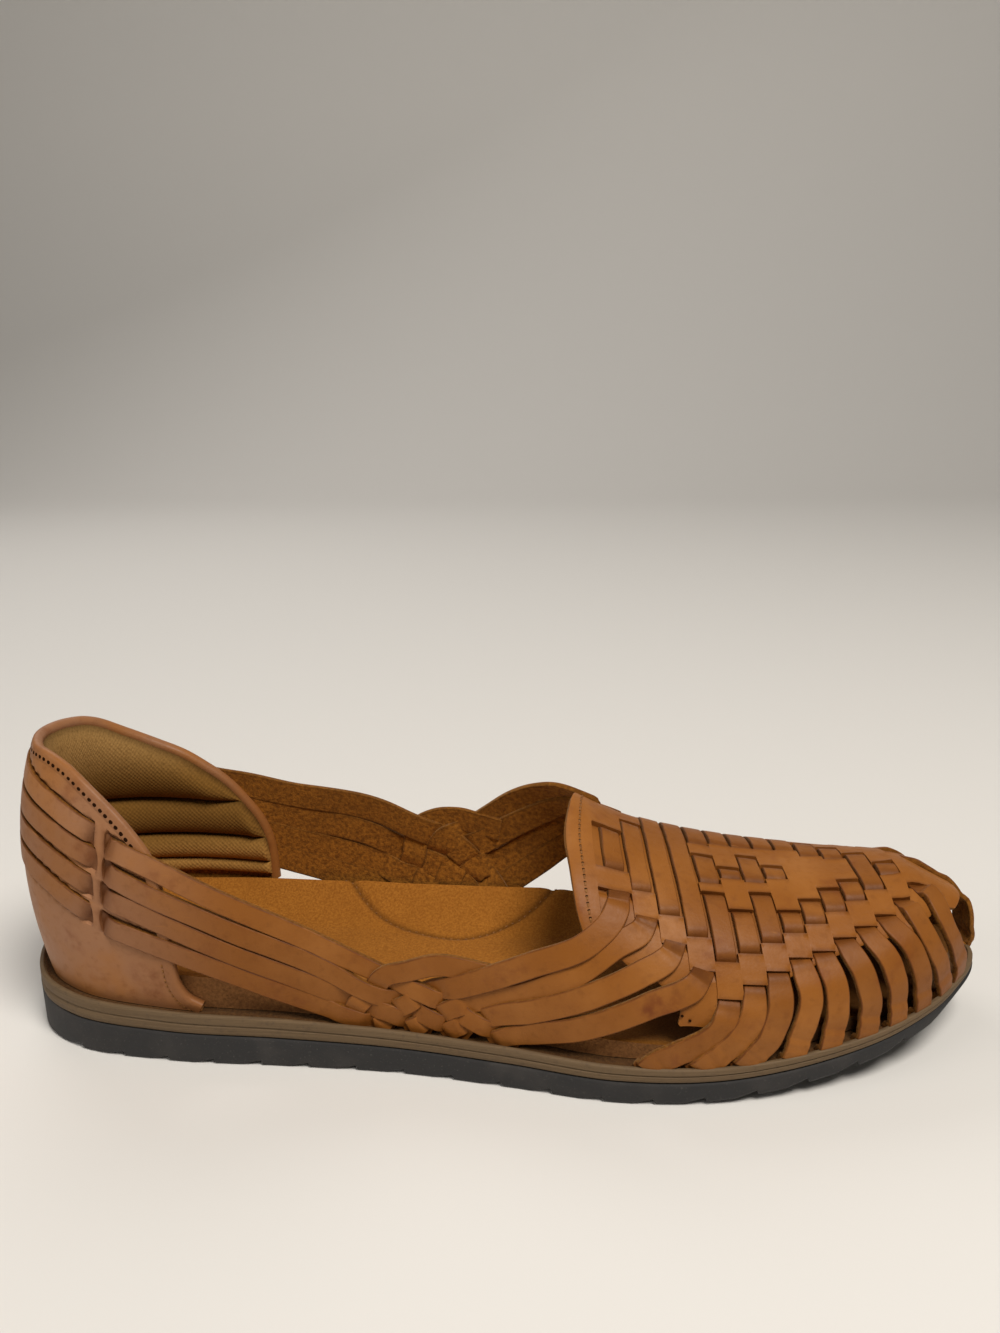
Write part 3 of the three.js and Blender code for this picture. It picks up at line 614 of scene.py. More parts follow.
# %% [markdown]
# ## Sole
# The sole is a moulded stack. A loop of points round its edge is lifted into rings, each with its own
# inset and height, and the rings are skinned. The outsole's underside has saw teeth that run across
# it, so its rings are sampled at every tooth. A revolve or an extruded outline could not follow the
# toe spring, the lift of the sole under the toe.

# %% Rings round the sole
OUTSOLE_SHARE = 0.6
# the rings have closer points behind and in front of these places along the sole
NEAR_HEEL, NEAR_TOE = 0.06, 0.94


def split_at(s):
    return spring_at(s) + OUTSOLE_SHARE * (rim_at(s) - spring_at(s))


def along_sole(at_ends, between):
    return np.unique(np.concatenate([
        np.linspace(0, NEAR_HEEL, at_ends), np.linspace(NEAR_HEEL, NEAR_TOE, between),
        np.linspace(NEAR_TOE, 1, at_ends)]))


def sole_body(joined, places, rings, finish):
    """rings: inset in mm and a function giving the height at s; finish: one for each band of faces."""
    back = places[1:-1][::-1]
    s = np.concatenate([places, back])
    side = np.concatenate([-np.ones(len(places)), np.ones(len(back))])
    count, loops, levels = len(s), [], []
    for inset, height in rings:
        z = height(s)
        loops.append(np.concatenate([sole_edge(s, side, inset), z[:, None]], 1))
        levels.append(z)
    run = distances(sole_edge(s, side))
    faces = tube_faces(len(rings), count, flip=True)[:-2]
    opposite = (count - np.arange(len(places))) % count
    top = (len(rings) - 1) * count
    for i in range(len(places) - 1):
        quad = list(dict.fromkeys([i, i + 1, int(opposite[i + 1]), int(opposite[i])]))
        faces += [[v + top for v in quad], quad[::-1]]
    bands, ends = np.repeat(finish, count), np.tile([finish[-1], finish[0]], len(places) - 1)
    joined.add(np.concatenate(loops), faces, np.concatenate([bands, ends]),
               run=np.tile(run, len(rings)), level=np.concatenate(levels))


print("split between outsole and midsole at the ball, mm:", round(float(split_at(0.65)), 2))

# %% [markdown]
# ### Outsole
# Each tooth is a flat land, a ramp up and a sharp step down. The edge is rounded by two close rings at
# the bottom, and the wall leans in slightly at the top where it meets the midsole. Round the back of
# the heel the black rubber comes up as a thin lip.

# %% Outsole with saw teeth
TOOTH_PITCH, TOOTH_START, TOOTH_LAND, TOOTH_RAMP_END = 13.4, 9.0, 7.5, 12.8
TOOTH_RISE, TOOTH_COUNT = 1.2, 19
LIP_REACH = 0.11

sampled_s = np.linspace(0, 1, 2000)
sampled_x = x_at(sampled_s)


def along_at(x):
    return np.interp(x, sampled_x, sampled_s)


tooth_x, tooth_z = [0.0], [0.0]
for k in range(TOOTH_COUNT):
    start = TOOTH_START + k * TOOTH_PITCH
    tooth_x += [start, start + TOOTH_LAND, start + TOOTH_RAMP_END]
    tooth_z += [0.0, 0.0, TOOTH_RISE]
tooth_x.append(STATIONS[-1, 1])
tooth_z.append(TOOTH_RISE)
tooth_s = along_at(np.array(tooth_x))


def tooth_bottom(s):
    return spring_at(s) + np.interp(s, tooth_s, tooth_z)


def outsole_top(s):
    lip = np.clip(1 - s / LIP_REACH, 0, 1) ** 1.5
    return split_at(s) - GAP / 2 + lip * (rim_at(s) - split_at(s))


outsole_alongs = np.unique(np.round(np.concatenate([along_sole(12, 120), tooth_s]), 5))
outsole = Joined()
sole_body(outsole, outsole_alongs, [
    (0.9, tooth_bottom),
    (0.35, lambda s: tooth_bottom(s) + 0.22),
    (0.05, lambda s: tooth_bottom(s) + 0.8),
    (0.0, lambda s: tooth_bottom(s) + 1.4),
    (0.0, lambda s: outsole_top(s) - 0.9),
    (0.12, lambda s: outsole_top(s) - 0.35),
    (0.45, outsole_top),
], [0] * 6)
outsole.place("outsole_teeth", [outsole_finish], "outsole", "outsole_rubber")

# %% [markdown]
# ### Midsole
# The midsole is a band with a fine groove round its middle and a rim that stands proud of the upper.
# Behind the rim it drops to a bed, where the feet of the straps are glued down.

# %% Midsole band, groove and bed
BED_INSET = 1.6


def midsole_level(share):
    return lambda s: split_at(s) + GAP / 2 + share * (rim_at(s) - split_at(s) - GAP / 2)


sole_alongs = along_sole(14, 150)
midsole = Joined()
sole_body(midsole, sole_alongs, [
    (0.5, midsole_level(0)),
    (0.16, midsole_level(0.08)),
    (0.1, midsole_level(0.2)),
    (0.12, midsole_level(0.42)),
    (0.45, midsole_level(0.47)),
    (0.45, midsole_level(0.51)),
    (0.1, midsole_level(0.56)),
    (0.12, midsole_level(0.86)),
    (0.3, midsole_level(0.96)),
    (0.7, midsole_level(1)),
    (1.3, midsole_level(0.99)),
    (BED_INSET, lambda s: rim_at(s) - 0.35),
    (BED_INSET + 0.25, lambda s: rim_at(s) - RECESS_DEPTH),
], [0] * 10 + [1] * 2)
# the rim's inner face and the bed take the second finish, painted shade in the recess
midsole.place("midsole_band", [midsole_finish, recess_shade], "midsole", "midsole_rubber")

# %% [markdown]
# ### Footbed
# The insole is a cupped pad: level in the middle, raised to a lip round the heel and higher still
# along the arch, where a second pad is let in behind a curved seam. A grid across the shoe, closed
# with a lower grid, keeps the edge crisp and the cup smooth. The side of the pad is raw suede.

# %% Insole
# along, height over the rim, and the lip's rise on the outer and on the inner side
FOOTBED = np.array([
    [0, 4, 7, 7], [0.15, 3.6, 6, 6.5], [0.3, 3.4, 5, 8], [0.42, 3.6, 4.5, 9], [0.54, 3.2, 2, 9.5],
    [0.62, 2.9, 1.4, 6], [0.7, 2.6, 0.8, 1], [1, 2.4, 0.8, 0.8],
])
BED_CUP = 17.0
BED_EDGE = SOLE_MARGIN + WALL + GAP
EDGE_ROUND, EDGE_REACH = 0.5, 1.2
ARCH_SEAM = np.array([(84, 33), (91.5, 24.5), (101, 16.5), (112.4, 11.5), (125.6, 9.6), (138.7, 16.4),
                      (150, 25.5), (158, 34)])
SEAM_WIDTH, SEAM_DEPTH, PAD_RISE, PAD_EASE = 0.7, 0.5, 0.5, 2.5
FAR = 99.0

bed_s, bed_rise, outer_lip, inner_lip = FOOTBED.T
near_seam = np.linspace(0.28, 0.62, 170)
bed_alongs = np.unique(np.concatenate([sole_alongs, near_seam]))
across = np.concatenate([[-1, -0.985], np.linspace(-0.96, 0.96, 101), [0.985, 1]])
S, W = np.meshgrid(bed_alongs, across, indexing="ij")
edge_l, edge_m = sole_edge(S, -1, BED_EDGE), sole_edge(S, 1, BED_EDGE)
plan = edge_l + (edge_m - edge_l) * ((W + 1) / 2)[..., None]
lip = np.where(W < 0, np.interp(S, bed_s, outer_lip), np.interp(S, bed_s, inner_lip))
to_edge = np.minimum(np.linalg.norm(plan - edge_l, axis=-1), np.linalg.norm(plan - edge_m, axis=-1))
heel_x, toe_x = sole_edge(0.0, 1, BED_EDGE)[0], sole_edge(1.0, 1, BED_EDGE)[0]
inside = np.minimum(to_edge, np.minimum(plan[..., 0] - heel_x, toe_x - plan[..., 0]))
cup = np.clip(1 - inside / BED_CUP, 0, 1) ** 2
bed_z = rim_at(S) + np.interp(S, bed_s, bed_rise) + lip * cup
bed_z -= EDGE_ROUND * np.clip(1 - inside / EDGE_REACH, 0, 1) ** 2
seam_line = carried_on(np.arange(len(ARCH_SEAM)), ARCH_SEAM)(np.linspace(0, len(ARCH_SEAM) - 1, 240))
from_seam = np.min(np.linalg.norm(plan[..., None, :] - seam_line, axis=-1), axis=-1)
seam_y = np.interp(plan[..., 0], seam_line[:, 0], seam_line[:, 1], left=FAR, right=FAR)
seam_here = np.exp(-((from_seam / SEAM_WIDTH) ** 2))
pad = PAD_RISE * (plan[..., 1] > seam_y) * np.clip(from_seam / PAD_EASE, 0, 1)
bed_z += pad - SEAM_DEPTH * seam_here
bed_top = np.concatenate([plan, bed_z[..., None]], -1)
bed_under = np.concatenate([plan, foot_height(S)[..., None]], -1)
insole = Joined()
# painted shade: the arch seam's groove is darker
add_sheet(insole, bed_top, bed_under, dive=seam_here)
insole.place("footbed", [bed_suede, bed_side], "insole", "insole_suede")

# %% [markdown]
# ## Straps
# Eighteen long straps make the upper. Four run round the heel and down both sides into a braid; the
# others cross the vamp and come down to the sole. Each is one continuous mesh that really goes over
# and under what it meets. A strap is laid along a smooth line of places on the last, and its level
# over the last is eased between marks: high where it lies on top, low where it dives through a slit.

# %% Laying a strap
rng = np.random.default_rng(11)
# points along a strap, and of the fine line they are taken from, are this far apart
LAY_STEP, FINE_STEP = 0.75, 0.2
# random wander of a strap's level and width: size, and length of a wave; straps differ in tone as well
LEVEL_WANDER, WIDTH_WANDER, TONE = (0.05, 14.0), (0.1, 9.0), 0.7


def eased(t, marks):
    """Smooth steps through (place, value) marks."""
    k, v = np.array(sorted(marks), float).T
    i = np.clip(np.searchsorted(k, t) - 1, 0, len(k) - 2)
    u = np.clip((t - k[i]) / np.maximum(k[i + 1] - k[i], 1e-6), 0, 1)
    return v[i] + (v[i + 1] - v[i]) * u * u * (3 - 2 * u)


def lay(points, normals, step=LAY_STEP):
    """A line through places: its points, normals, distances, and the distance of each place."""
    points = np.asarray(points, float)
    knots = distances(points)
    line, lean = carried_on(knots, points), carried_on(knots, np.asarray(normals, float))
    fine = np.linspace(0, knots[-1], int(knots[-1] / FINE_STEP))
    length = distances(line(fine))
    distance = np.linspace(0, length[-1], int(length[-1] / step) + 2)
    t = np.interp(distance, length, fine)
    return line(t), unit(lean(t)), distance, np.interp(knots, fine, length)


def ripple(distance, size, wave):
    """Slow random wander along a strap."""
    count = max(4, int(distance[-1] / wave) + 3)
    return carried_on(np.linspace(0, distance[-1], count), rng.normal(0, size, count))(distance)


print("places along a strap are", LAY_STEP, "mm apart")

# %% The mesh of a strap
STRAP_THICK = 1.5
# painted shade: leather is darker this far round a slit
SLIT_SHADE_REACH = 2.6
# across the strap (half widths) and through its thickness (0 inside, 1 outside), inner face first
RING = np.array([
    (-0.97, 0.0), (-0.9, 0.0), (0, 0.0), (0.9, 0.0), (0.97, 0.0), (1, 0.08), (1, 0.8), (0.975, 0.93),
    (0.91, 1.0), (0.86, 1.005), (0.45, 1.02), (0, 1.03), (-0.45, 1.02), (-0.86, 1.005), (-0.91, 1.0),
    (-0.975, 0.93), (-1, 0.8), (-1, 0.08),
])
RING_FINISH = np.array([1] * 6 + [0] * 10 + [1] * 2)


def strap(joined, points, normals, distance, width, middle, slits=(), tone=0.0):
    """One strap: width and middle (level of its mid thickness) are arrays along the line."""
    centre = points + normals * (middle + ripple(distance, *LEVEL_WANDER))[:, None]
    run = unit(np.gradient(centre, axis=0))
    across = unit(np.cross(run, normals))
    out = unit(np.cross(across, run))
    half = (width + ripple(distance, *WIDTH_WANDER)) / 2
    rows, n = len(centre), len(RING)
    ring = (centre[:, None] + across[:, None] * (half[:, None] * RING[:, 0])[..., None]
            + out[:, None] * ((RING[:, 1] - 0.5) * STRAP_THICK)[None, :, None])
    finish = np.concatenate([np.tile(RING_FINISH, rows - 1), [1, 1]])
    # painted shade round each slit the strap goes through
    dive = np.zeros(rows)
    for slit in slits:
        dive = np.maximum(dive, np.exp(-(((distance - slit) / SLIT_SHADE_REACH) ** 2)))
    joined.add(ring, tube_faces(rows, n), finish, edge=np.tile(np.abs(RING[:, 0]), rows),
               dive=np.repeat(dive, n), tone=tone, run=np.repeat(distance, n))


print("strap section:", len(RING), "points")

# %% Levels of a strap
# how far a strap starts to sink before a slit and goes on sinking behind it, at most as a share of the
# way to the next slit
SINK_BEFORE, SINK_BEHIND, SINK_SHARE = 2.2, 0.5, 0.4
# a strap stays level this far to both sides of a crossing, at most as a share of the way to the next
FLAT, FLAT_SHARE = 2.5, 0.42


def levels_of(place, tags, over, under):
    """Level marks and slit distances from tags: a number, 'down' or 'up' through a slit, or None."""
    slits = [(p, tag) for p, tag in zip(place, tags) if isinstance(tag, str)]
    fixed = [(p, tag) for p, tag in zip(place, tags) if tag is not None and not isinstance(tag, str)]
    marks = []
    for i, (p, tag) in enumerate(fixed):
        beside = fixed[max(0, i - 1):i] + fixed[i + 1:i + 2]
        flat = min(FLAT, FLAT_SHARE * min([abs(p - other) for other, _ in beside] or [FAR]))
        marks += [(p - flat, tag), (p + flat, tag)]
    for i, (p, tag) in enumerate(slits):
        left = p - slits[i - 1][0] if i else FAR
        right = slits[i + 1][0] - p if i + 1 < len(slits) else FAR
        shown, hidden = (left, right) if tag == "down" else (right, left)
        before, behind = min(SINK_BEFORE, SINK_SHARE * shown), min(SINK_BEHIND, SINK_SHARE * hidden)
        if tag == "down":
            marks += [(p - before, over), (p + behind, under)]
        else:
            marks += [(p - behind, under), (p + before, over)]
    return marks, [p for p, _ in slits]


print("a strap sinks in", SINK_BEFORE + SINK_BEHIND, "mm")

# %% [markdown]
# ### Heights on the two sides
# The straps of both sides follow the same table of heights. Over the arch, on the inner side, the
# braid is taller and a little shorter, so its places are lifted and spread before they are used.

# %% Places for straps
ARCH_MIDDLE, ARCH_CLOSE, ARCH_SPREAD, ARCH_LIFT, ARCH_FRONT = 0.40, 0.3, 0.75, 4.5, 4.5
# where along the change starts, the way until it is full, and the power it grows with
ARCH_START, ARCH_RUN, ARCH_POWER = 0.18, 0.21, 1.7
# the front lift starts a little before the middle; near the sole, below FOOT_RISE, all lift fades out
FRONT_EARLY, FRONT_RUN, FOOT_RISE = 0.005, 0.05, 3.5


def ramp(t):
    """A smooth step from 0 to 1."""
    t = np.clip(t, 0, 1)
    return t * t * (3 - 2 * t)


def side_place(s, z, side):
    """(s, a) of a height on a side, with the taller braid over the arch."""
    if side > 0:
        near = np.clip((s - ARCH_START) / ARCH_RUN, 0, 1) ** ARCH_POWER
        rise = z - foot_height(s)
        lift = ARCH_LIFT + ARCH_FRONT * ramp((s - ARCH_MIDDLE + FRONT_EARLY) / FRONT_RUN)
        z = z + near * (ARCH_SPREAD * rise + lift * ramp(rise / FOOT_RISE))
        s = s + near * ARCH_CLOSE * (ARCH_MIDDLE - s)
    return float(s), float(at_height(s, side, z))


def on_last(places):
    s, a = np.array(places, float).T
    return last_point(s, a), last_normal(s, a)


print("arch lift, mm:", ARCH_LIFT, "to", ARCH_LIFT + ARCH_FRONT)

# %% [markdown]
# ### Side straps
# The four side straps come out of slots in the counter, run down to the braid and end at the sole.
# Behind the slots the same straps go on round the heel. In the braid they cross the vamp straps: strap
# i lies over vamp strap j when i + j is even, which is a plain weave.

# %% Side straps round the heel
OVER, UNDER, END_LEVEL = 0.55, -0.75, -0.4
# heights of the strips at the back of the heel and at their slots, and where along the slots are
HEEL_STRIPS = [(79.5, 65.8), (72.3, 58.8), (65.2, 51.2), (58, 43)]
SLOT_BACKS, SLOT_FRONTS = (0.1555, 0.157, 0.153, 0.150), (0.1665, 0.1655, 0.1625, 0.1605)
# heights of the straps in front of the slots, at three places along
SIDE_SECTIONS = (0.178, 0.253, 0.333)
SIDE_STRAPS = [(61.2, 49, 37), (53.4, 41.7, 30.5), (46.4, 34.8, 24), (38.0, 28.3, 18)]
# crossings with the braid loop and the vamp straps 1 to 4, as (s, z), then the end at the sole
SIDE_CROSSINGS = [
    [(0.389, 27.9), (0.425, 23.9), (0.450, 20.5), (0.469, 17.3), (0.496, 13.5)],
    [(0.378, 22.9), (0.408, 20.1), (0.430, 16.6), (0.450, 14.2)],
    [(0.366, 19.4), (0.393, 17.2), (0.416, 13.7)],
    [(0.358, 15.2), (0.383, 12.7)],
]
SIDE_ENDS = [(0.509, 10.6), (0.463, 10.9), (0.429, 11.2), (0.396, 11.6)]
SIDE_WIDTH, INNER_WIDTH, BRAID_WIDTH = 6.0, 8.6, 5.6
# a strap gets wider in this length: out of the outer braid, and on the inner side
WIDEN, WIDEN_INNER = 16, 20
ON_COUNTER, IN_COUNTER = -0.25, -1.6
SECTION_LEVELS = (0.25, 0.2, 0.05)
# a strap comes out of its slot this far below the straight way
SLOT_DROP = 0.8
HEEL_PLACES = 15


def crossing_level(i, j, this_over):
    even = (i + j) % 2 == 0
    return OVER if even == this_over else UNDER


side_straps = Joined()
for i, (back, slot) in enumerate(HEEL_STRIPS):
    slot_back, slot_front = SLOT_BACKS[i], SLOT_FRONTS[i]
    half = list(zip(SIDE_SECTIONS, SIDE_STRAPS[i], SECTION_LEVELS))
    half += [(s, z, crossing_level(i + 1, j, True)) for j, (s, z) in enumerate(SIDE_CROSSINGS[i])]
    half.append((*SIDE_ENDS[i], END_LEVEL))
    out_z = np.interp(slot_front, [slot_back, SIDE_SECTIONS[0]], [slot, SIDE_STRAPS[i][0]]) - SLOT_DROP
    outer = [(side_place(s, z, -1), tag) for s, z, tag in [(slot_front, out_z, "down"), *half]]
    inner = [(side_place(s, z, 1), tag) for s, z, tag in [(slot_front, out_z, "up"), *half]]
    heel = []
    for t in np.linspace(-1, 1, HEEL_PLACES):
        s, z = abs(t) * slot_back, back + (slot - back) * t**2
        tag = "up" if t == -1 else "down" if t == 1 else None
        heel.append(((s, at_height(s, -1 if t < 0 else 1, z)), tag))
    places, tags = zip(*outer[::-1], *heel, *inner)
    points, normals, distance, place = lay(*on_last(places))
    marks, slits = levels_of(place, tags, ON_COUNTER, IN_COUNTER)
    braid_end, wider = place[len(half) - 4], place[-len(half)]
    width = eased(distance, [
        (0, BRAID_WIDTH), (braid_end, BRAID_WIDTH), (braid_end + WIDEN, SIDE_WIDTH),
        (wider, SIDE_WIDTH), (wider + WIDEN_INNER, INNER_WIDTH), (distance[-1], INNER_WIDTH)])
    strap(side_straps, points, normals, distance, width, eased(distance, marks), slits,
          rng.uniform(-TONE, TONE))
side_straps.place("side_straps", [tan_leather, strap_suede], "upper", "upper_leather")

# %% [markdown]
# ## The vamp
# The vamp is an apron of leather with rows of slits, and fourteen straps woven through them. A sheet
# S(k, w) carries both: k counts the straps from throat to toe, and w is the distance in mm over the
# last from the middle line, negative on the outer side. Apron and straps share this surface, so they
# line up at every slit, and a slit is square to its strap.

# %% Slots and edges of the apron
# the apron's edge: how far down the side it is at places along
APRON_EDGE = np.array([
    [0.552, 0.6], [0.6, 0.71], [0.655, 0.84], [0.7, 0.8], [0.74, 0.71], [0.79, 0.62], [0.84, 0.56],
    [0.9, 0.56], [1, 0.62],
])
# outer slots of vamp straps 1 to 14: s and how far down the side
SLOTS = np.array([
    (0.607, 0.396), (0.628, 0.471), (0.653, 0.544), (0.678, 0.635), (0.704, 0.744), (0.727, 0.686),
    (0.752, 0.633), (0.774, 0.58), (0.798, 0.56), (0.823, 0.506), (0.848, 0.463), (0.882, 0.424),
    (0.919, 0.357), (0.965, 0.314),
])
# the way of each band from its slot to the sole, as (s, how far down)
BANDS = [
    [(0.703, 0.798), (0.693, 0.865), (0.669, 0.923), (0.642, 0.965), (0.625, 1)],
    [(0.726, 0.767), (0.718, 0.855), (0.702, 0.928), (0.682, 0.98), (0.67, 1)],
    [(0.75, 0.714), (0.745, 0.824), (0.732, 0.936), (0.718, 0.985), (0.712, 1)],
    [(0.778, 0.653), (0.775, 0.786), (0.766, 0.916), (0.76, 0.98), (0.757, 1)],
    [(0.799, 0.633), (0.801, 0.778), (0.799, 0.907), (0.794, 0.98), (0.792, 1)],
    [(0.824, 0.578), (0.831, 0.74), (0.835, 0.888), (0.831, 0.98), (0.829, 1)],
    [(0.85, 0.539), (0.861, 0.706), (0.866, 0.867), (0.865, 0.98), (0.864, 1)],
    [(0.881, 0.498), (0.889, 0.679), (0.896, 0.887), (0.896, 0.98), (0.895, 1)],
    [(0.909, 0.5), (0.911, 0.68), (0.921, 0.87), (0.928, 0.98), (0.929, 1)],
    [(0.949, 0.462), (0.940, 0.63), (0.944, 0.8), (0.952, 0.93), (0.953, 1)],
]
# the last band comes down nearer the tip on the inner side: s, how far down and how far it stands out
TOE_BAND = [(0.966, 0.47, 0.3), (0.974, 0.66, 0.9), (0.981, 0.85, 2.1), (0.983, 0.965, 1.9),
            (0.983, 0.985, 1), (0.983, 1, 0)]
TOE_BAND_WIDTH = 9.4
# rows are counted from 0 in the code; the inner bands behind the last one stand nearer the tip too
INNER_ON = {10: 0.004, 11: 0.014, 12: 0.031}
# how far down the apron's edge is beside the first five rows
EARLY_EDGES = (0.655, 0.69, 0.765, 0.865, 0.885)
# inner slots of straps 1 to 4, nearer the ridge than the outer ones
INNER_REACH = (0.22, 0.3, 0.37, 0.47)
THROAT = np.array([(0.569, -0.60), (0.563, -0.53), (0.559, -0.43), (0.557, -0.29), (0.5565, -0.19),
                   (0.5565, -0.03), (0.558, 0.22), (0.56, 0.43), (0.563, 0.53), (0.569, 0.60)])
TOE = np.array([(0.964, 0.60), (0.97, 0.597), (0.976, 0.594), (0.982, 0.591), (0.988, 0.588),
                (0.994, 0.586)])
TOE_TIP = (1, 0.585)
# the toe is fuller than the last from row 12 on: how far the rows, the toe edge and the bands stand out
FULL_FROM, TOE_FULL, BAND_FULL = 11, (0.25, 0.6, 1.0, 1.2), (0.3, 0.6, 1.0)
W_KNOTS = np.linspace(-54, 54, 37)
# all rows, and the first ones, whose straps run back into the braid
ROWS, BRAIDED = len(SLOTS), len(INNER_REACH)

apron_reach = carried_on(APRON_EDGE[:, 0], APRON_EDGE[:, 1])


def band_s(row, reach):
    """s along a band at a reach down the side."""
    way = np.array([tuple(SLOTS[row]), *BANDS[row - BRAIDED]])
    return np.interp(reach, way[:, 1], way[:, 0])


def edge_reach(row):
    """How far down the side the apron's edge is beside a row."""
    if row < len(EARLY_EDGES):
        return EARLY_EDGES[row]
    reach = np.linspace(SLOTS[row][1], 1, 300)
    return float(reach[np.argmax(reach >= apron_reach(band_s(row, reach)))])


print("apron edge beside the first band:", round(edge_reach(4), 3))

# %% [markdown]
# ### The weave's own lines
# On top of the foot the straps run straight across, square to a line that turns inwards towards the
# big toe. Those lines are drawn in plan and dropped on the last, by a few steps of Newton's method,
# which finds the (s, a) whose plan is a given point.

# %% Lines in plan
WEAVE_ORIGIN, WEAVE_TURN = np.array([210.0, -4.0]), math.radians(11)
WEAVE_PITCH, WEAVE_FIRST = 6.55, -6
# rows turn a little towards the toe on the inner side, and back on the outer one
OUTER_BEND, INNER_BEND = 0.03, 0.09
# where each strap shows on top, as stretches across the foot in mm; outer side negative, and None is
# a stretch that ends a little before the inner slot
SHOWINGS = [
    [(-6.7, 8.5)], [(-11.5, 16)], [(-17, None)], [(-21.7, None)],
    [(-26.5, -9.6), (-6.7, 5.9), (11.7, None)],
    [(-25.1, -14.6), (-4.2, 1.0), (13.6, None)],
    [(-23, -8.8), (-5.1, 8.4), (13.4, None)],
    [(-20.7, -14.5), (-3.1, 3.5), (13.5, None)],
    [(-18.4, -10.8), (13.9, 26)],
    [(-15.1, -6.8), (10.2, 21.5)],
    [(-11.8, -3.5), (8.4, 17.5)],
    [(-8.2, 12)], [(-2.4, 4.7)], [],
]
BEFORE_SLOT = 6.0
turn_x, turn_y = math.cos(WEAVE_TURN), math.sin(WEAVE_TURN)


def under_plan(xy):
    """(s, a) of the last under points in plan."""
    xy = np.asarray(xy, float)
    s = along_at(np.clip(xy[:, 0], 0, 273))
    c = np.full(len(xy), 0.01)

    def plan_of(s, c):
        c = np.clip(c, -1, 1)
        a = np.sign(c) * (1 - np.arccos(np.abs(c) ** (1 / power_at(s))) * 2 / np.pi)
        return last_point(s, a)[:, :2], a
    step = 1e-3
    for _ in range(40):
        here = plan_of(s, c)[0]
        ds = (plan_of(s + step, c)[0] - here) / step
        dc = (plan_of(s, c + step)[0] - here) / step
        miss = xy - here
        det = ds[:, 0] * dc[:, 1] - ds[:, 1] * dc[:, 0]
        s = s + np.clip((miss[:, 0] * dc[:, 1] - miss[:, 1] * dc[:, 0]) / det, -0.03, 0.03)
        c = c + np.clip((ds[:, 0] * miss[:, 1] - ds[:, 1] * miss[:, 0]) / det, -0.2, 0.2)
        s, c = np.clip(s, 0.3, 0.999), np.clip(c, -0.99, 0.99)
    return s, plan_of(s, c)[1]


def weave_plan(row, v):
    bend = INNER_BEND * np.maximum(v, 0), OUTER_BEND * np.minimum(v, 0)
    u = (WEAVE_FIRST + row) * WEAVE_PITCH + bend[0] + bend[1]
    return WEAVE_ORIGIN + np.stack([u * turn_x - v * turn_y, u * turn_y + v * turn_x], -1)


def across_foot(points):
    off = points[..., :2] - WEAVE_ORIGIN
    return off[..., 1] * turn_x - off[..., 0] * turn_y


print("rows turn by", round(math.degrees(WEAVE_TURN)), "degrees")

# %% Rows over the last
STEEP, ROW_HALF, ROW_STEP, DOWN_STEPS = 0.76, 60, 0.25, 15
# rows that lean back on the outer side: how far down it starts, and how much
LEANS = {2: (STEEP, 0.12), 3: (STEEP, 0.24), 4: (STEEP, 0.24), 5: (STEEP, 0.1),
         12: (0.36, 0.04), 13: (0.3, 0.1)}


def row_line(row):
    """A row over the last, as v across the foot, distance w, s and a; steep sides go straight down."""
    halves = []
    for side in (-1, 1):
        v = side * np.arange(0, ROW_HALF, ROW_STEP)
        s, a = under_plan(weave_plan(row, v))
        end = int(np.argmax(side * a >= STEEP)) or len(v) - 1
        down = np.linspace(a[end], side, DOWN_STEPS + 1)[1:]
        s, a = np.append(s[:end + 1], np.full(DOWN_STEPS, s[end])), np.append(a[:end + 1], down)
        start, lean = LEANS.get(row, (1, 0)) if side < 0 else (1, 0)
        s = s - lean * np.maximum(np.abs(a) - start, 0)
        v = np.append(v[:end + 1], v[end] + side * ROW_STEP * np.arange(1, DOWN_STEPS + 1))
        halves.append(np.stack([v, side * distances(last_point(s, a)), s, a]))
    return np.concatenate([halves[0][:, :0:-1], halves[1]], 1)


def edge_row(points):
    """Net points of an edge of the apron given by a line of points, and its ends as distances."""
    w = distances(points)
    w -= np.interp(0, across_foot(points), w)
    return np.stack([np.interp(W_KNOTS, w, points[:, i]) for i in range(3)], -1), w[0], w[-1]


row_lines = [row_line(row) for row in range(ROWS)]


def w_of(row, v):
    return float(np.interp(v, row_lines[row][0], row_lines[row][1]))


def w_at_reach(row, side, reach):
    return float(np.interp(side * reach, np.maximum.accumulate(row_lines[row][3]), row_lines[row][1]))


print("row 1 is", round(row_lines[0][1][-1] - row_lines[0][1][0]), "mm long over the last")

# %% The sheet
net, slots_w, inner_slots, rows_shown, edges_w = [], [], [], [], []
for row in range(ROWS):
    _, w, s, a = row_lines[row]
    reach = SLOTS[row][1]
    outer = w_at_reach(row, -1, reach)
    inner = w_at_reach(row, 1, INNER_REACH[row] if row < BRAIDED else reach)
    slots_w.append((outer, inner))
    inner_slots.append(float(np.interp(inner, w, s)))
    rows_shown.append([(w_of(row, low), inner - BEFORE_SLOT if high is None else w_of(row, high))
                       for low, high in SHOWINGS[row]])
    edges_w.append([w_at_reach(row, side, edge_reach(row)) for side in (-1, 1)])
    places = np.interp(W_KNOTS, w, s), np.interp(W_KNOTS, w, a)
    full = TOE_FULL[row - FULL_FROM] if row >= FULL_FROM else 0.0
    net.append(last_point(*places) + full * last_normal(*places))
    print("row", row + 1, "slots", np.round(slots_w[row], 1), "edges", np.round(edges_w[row], 1))

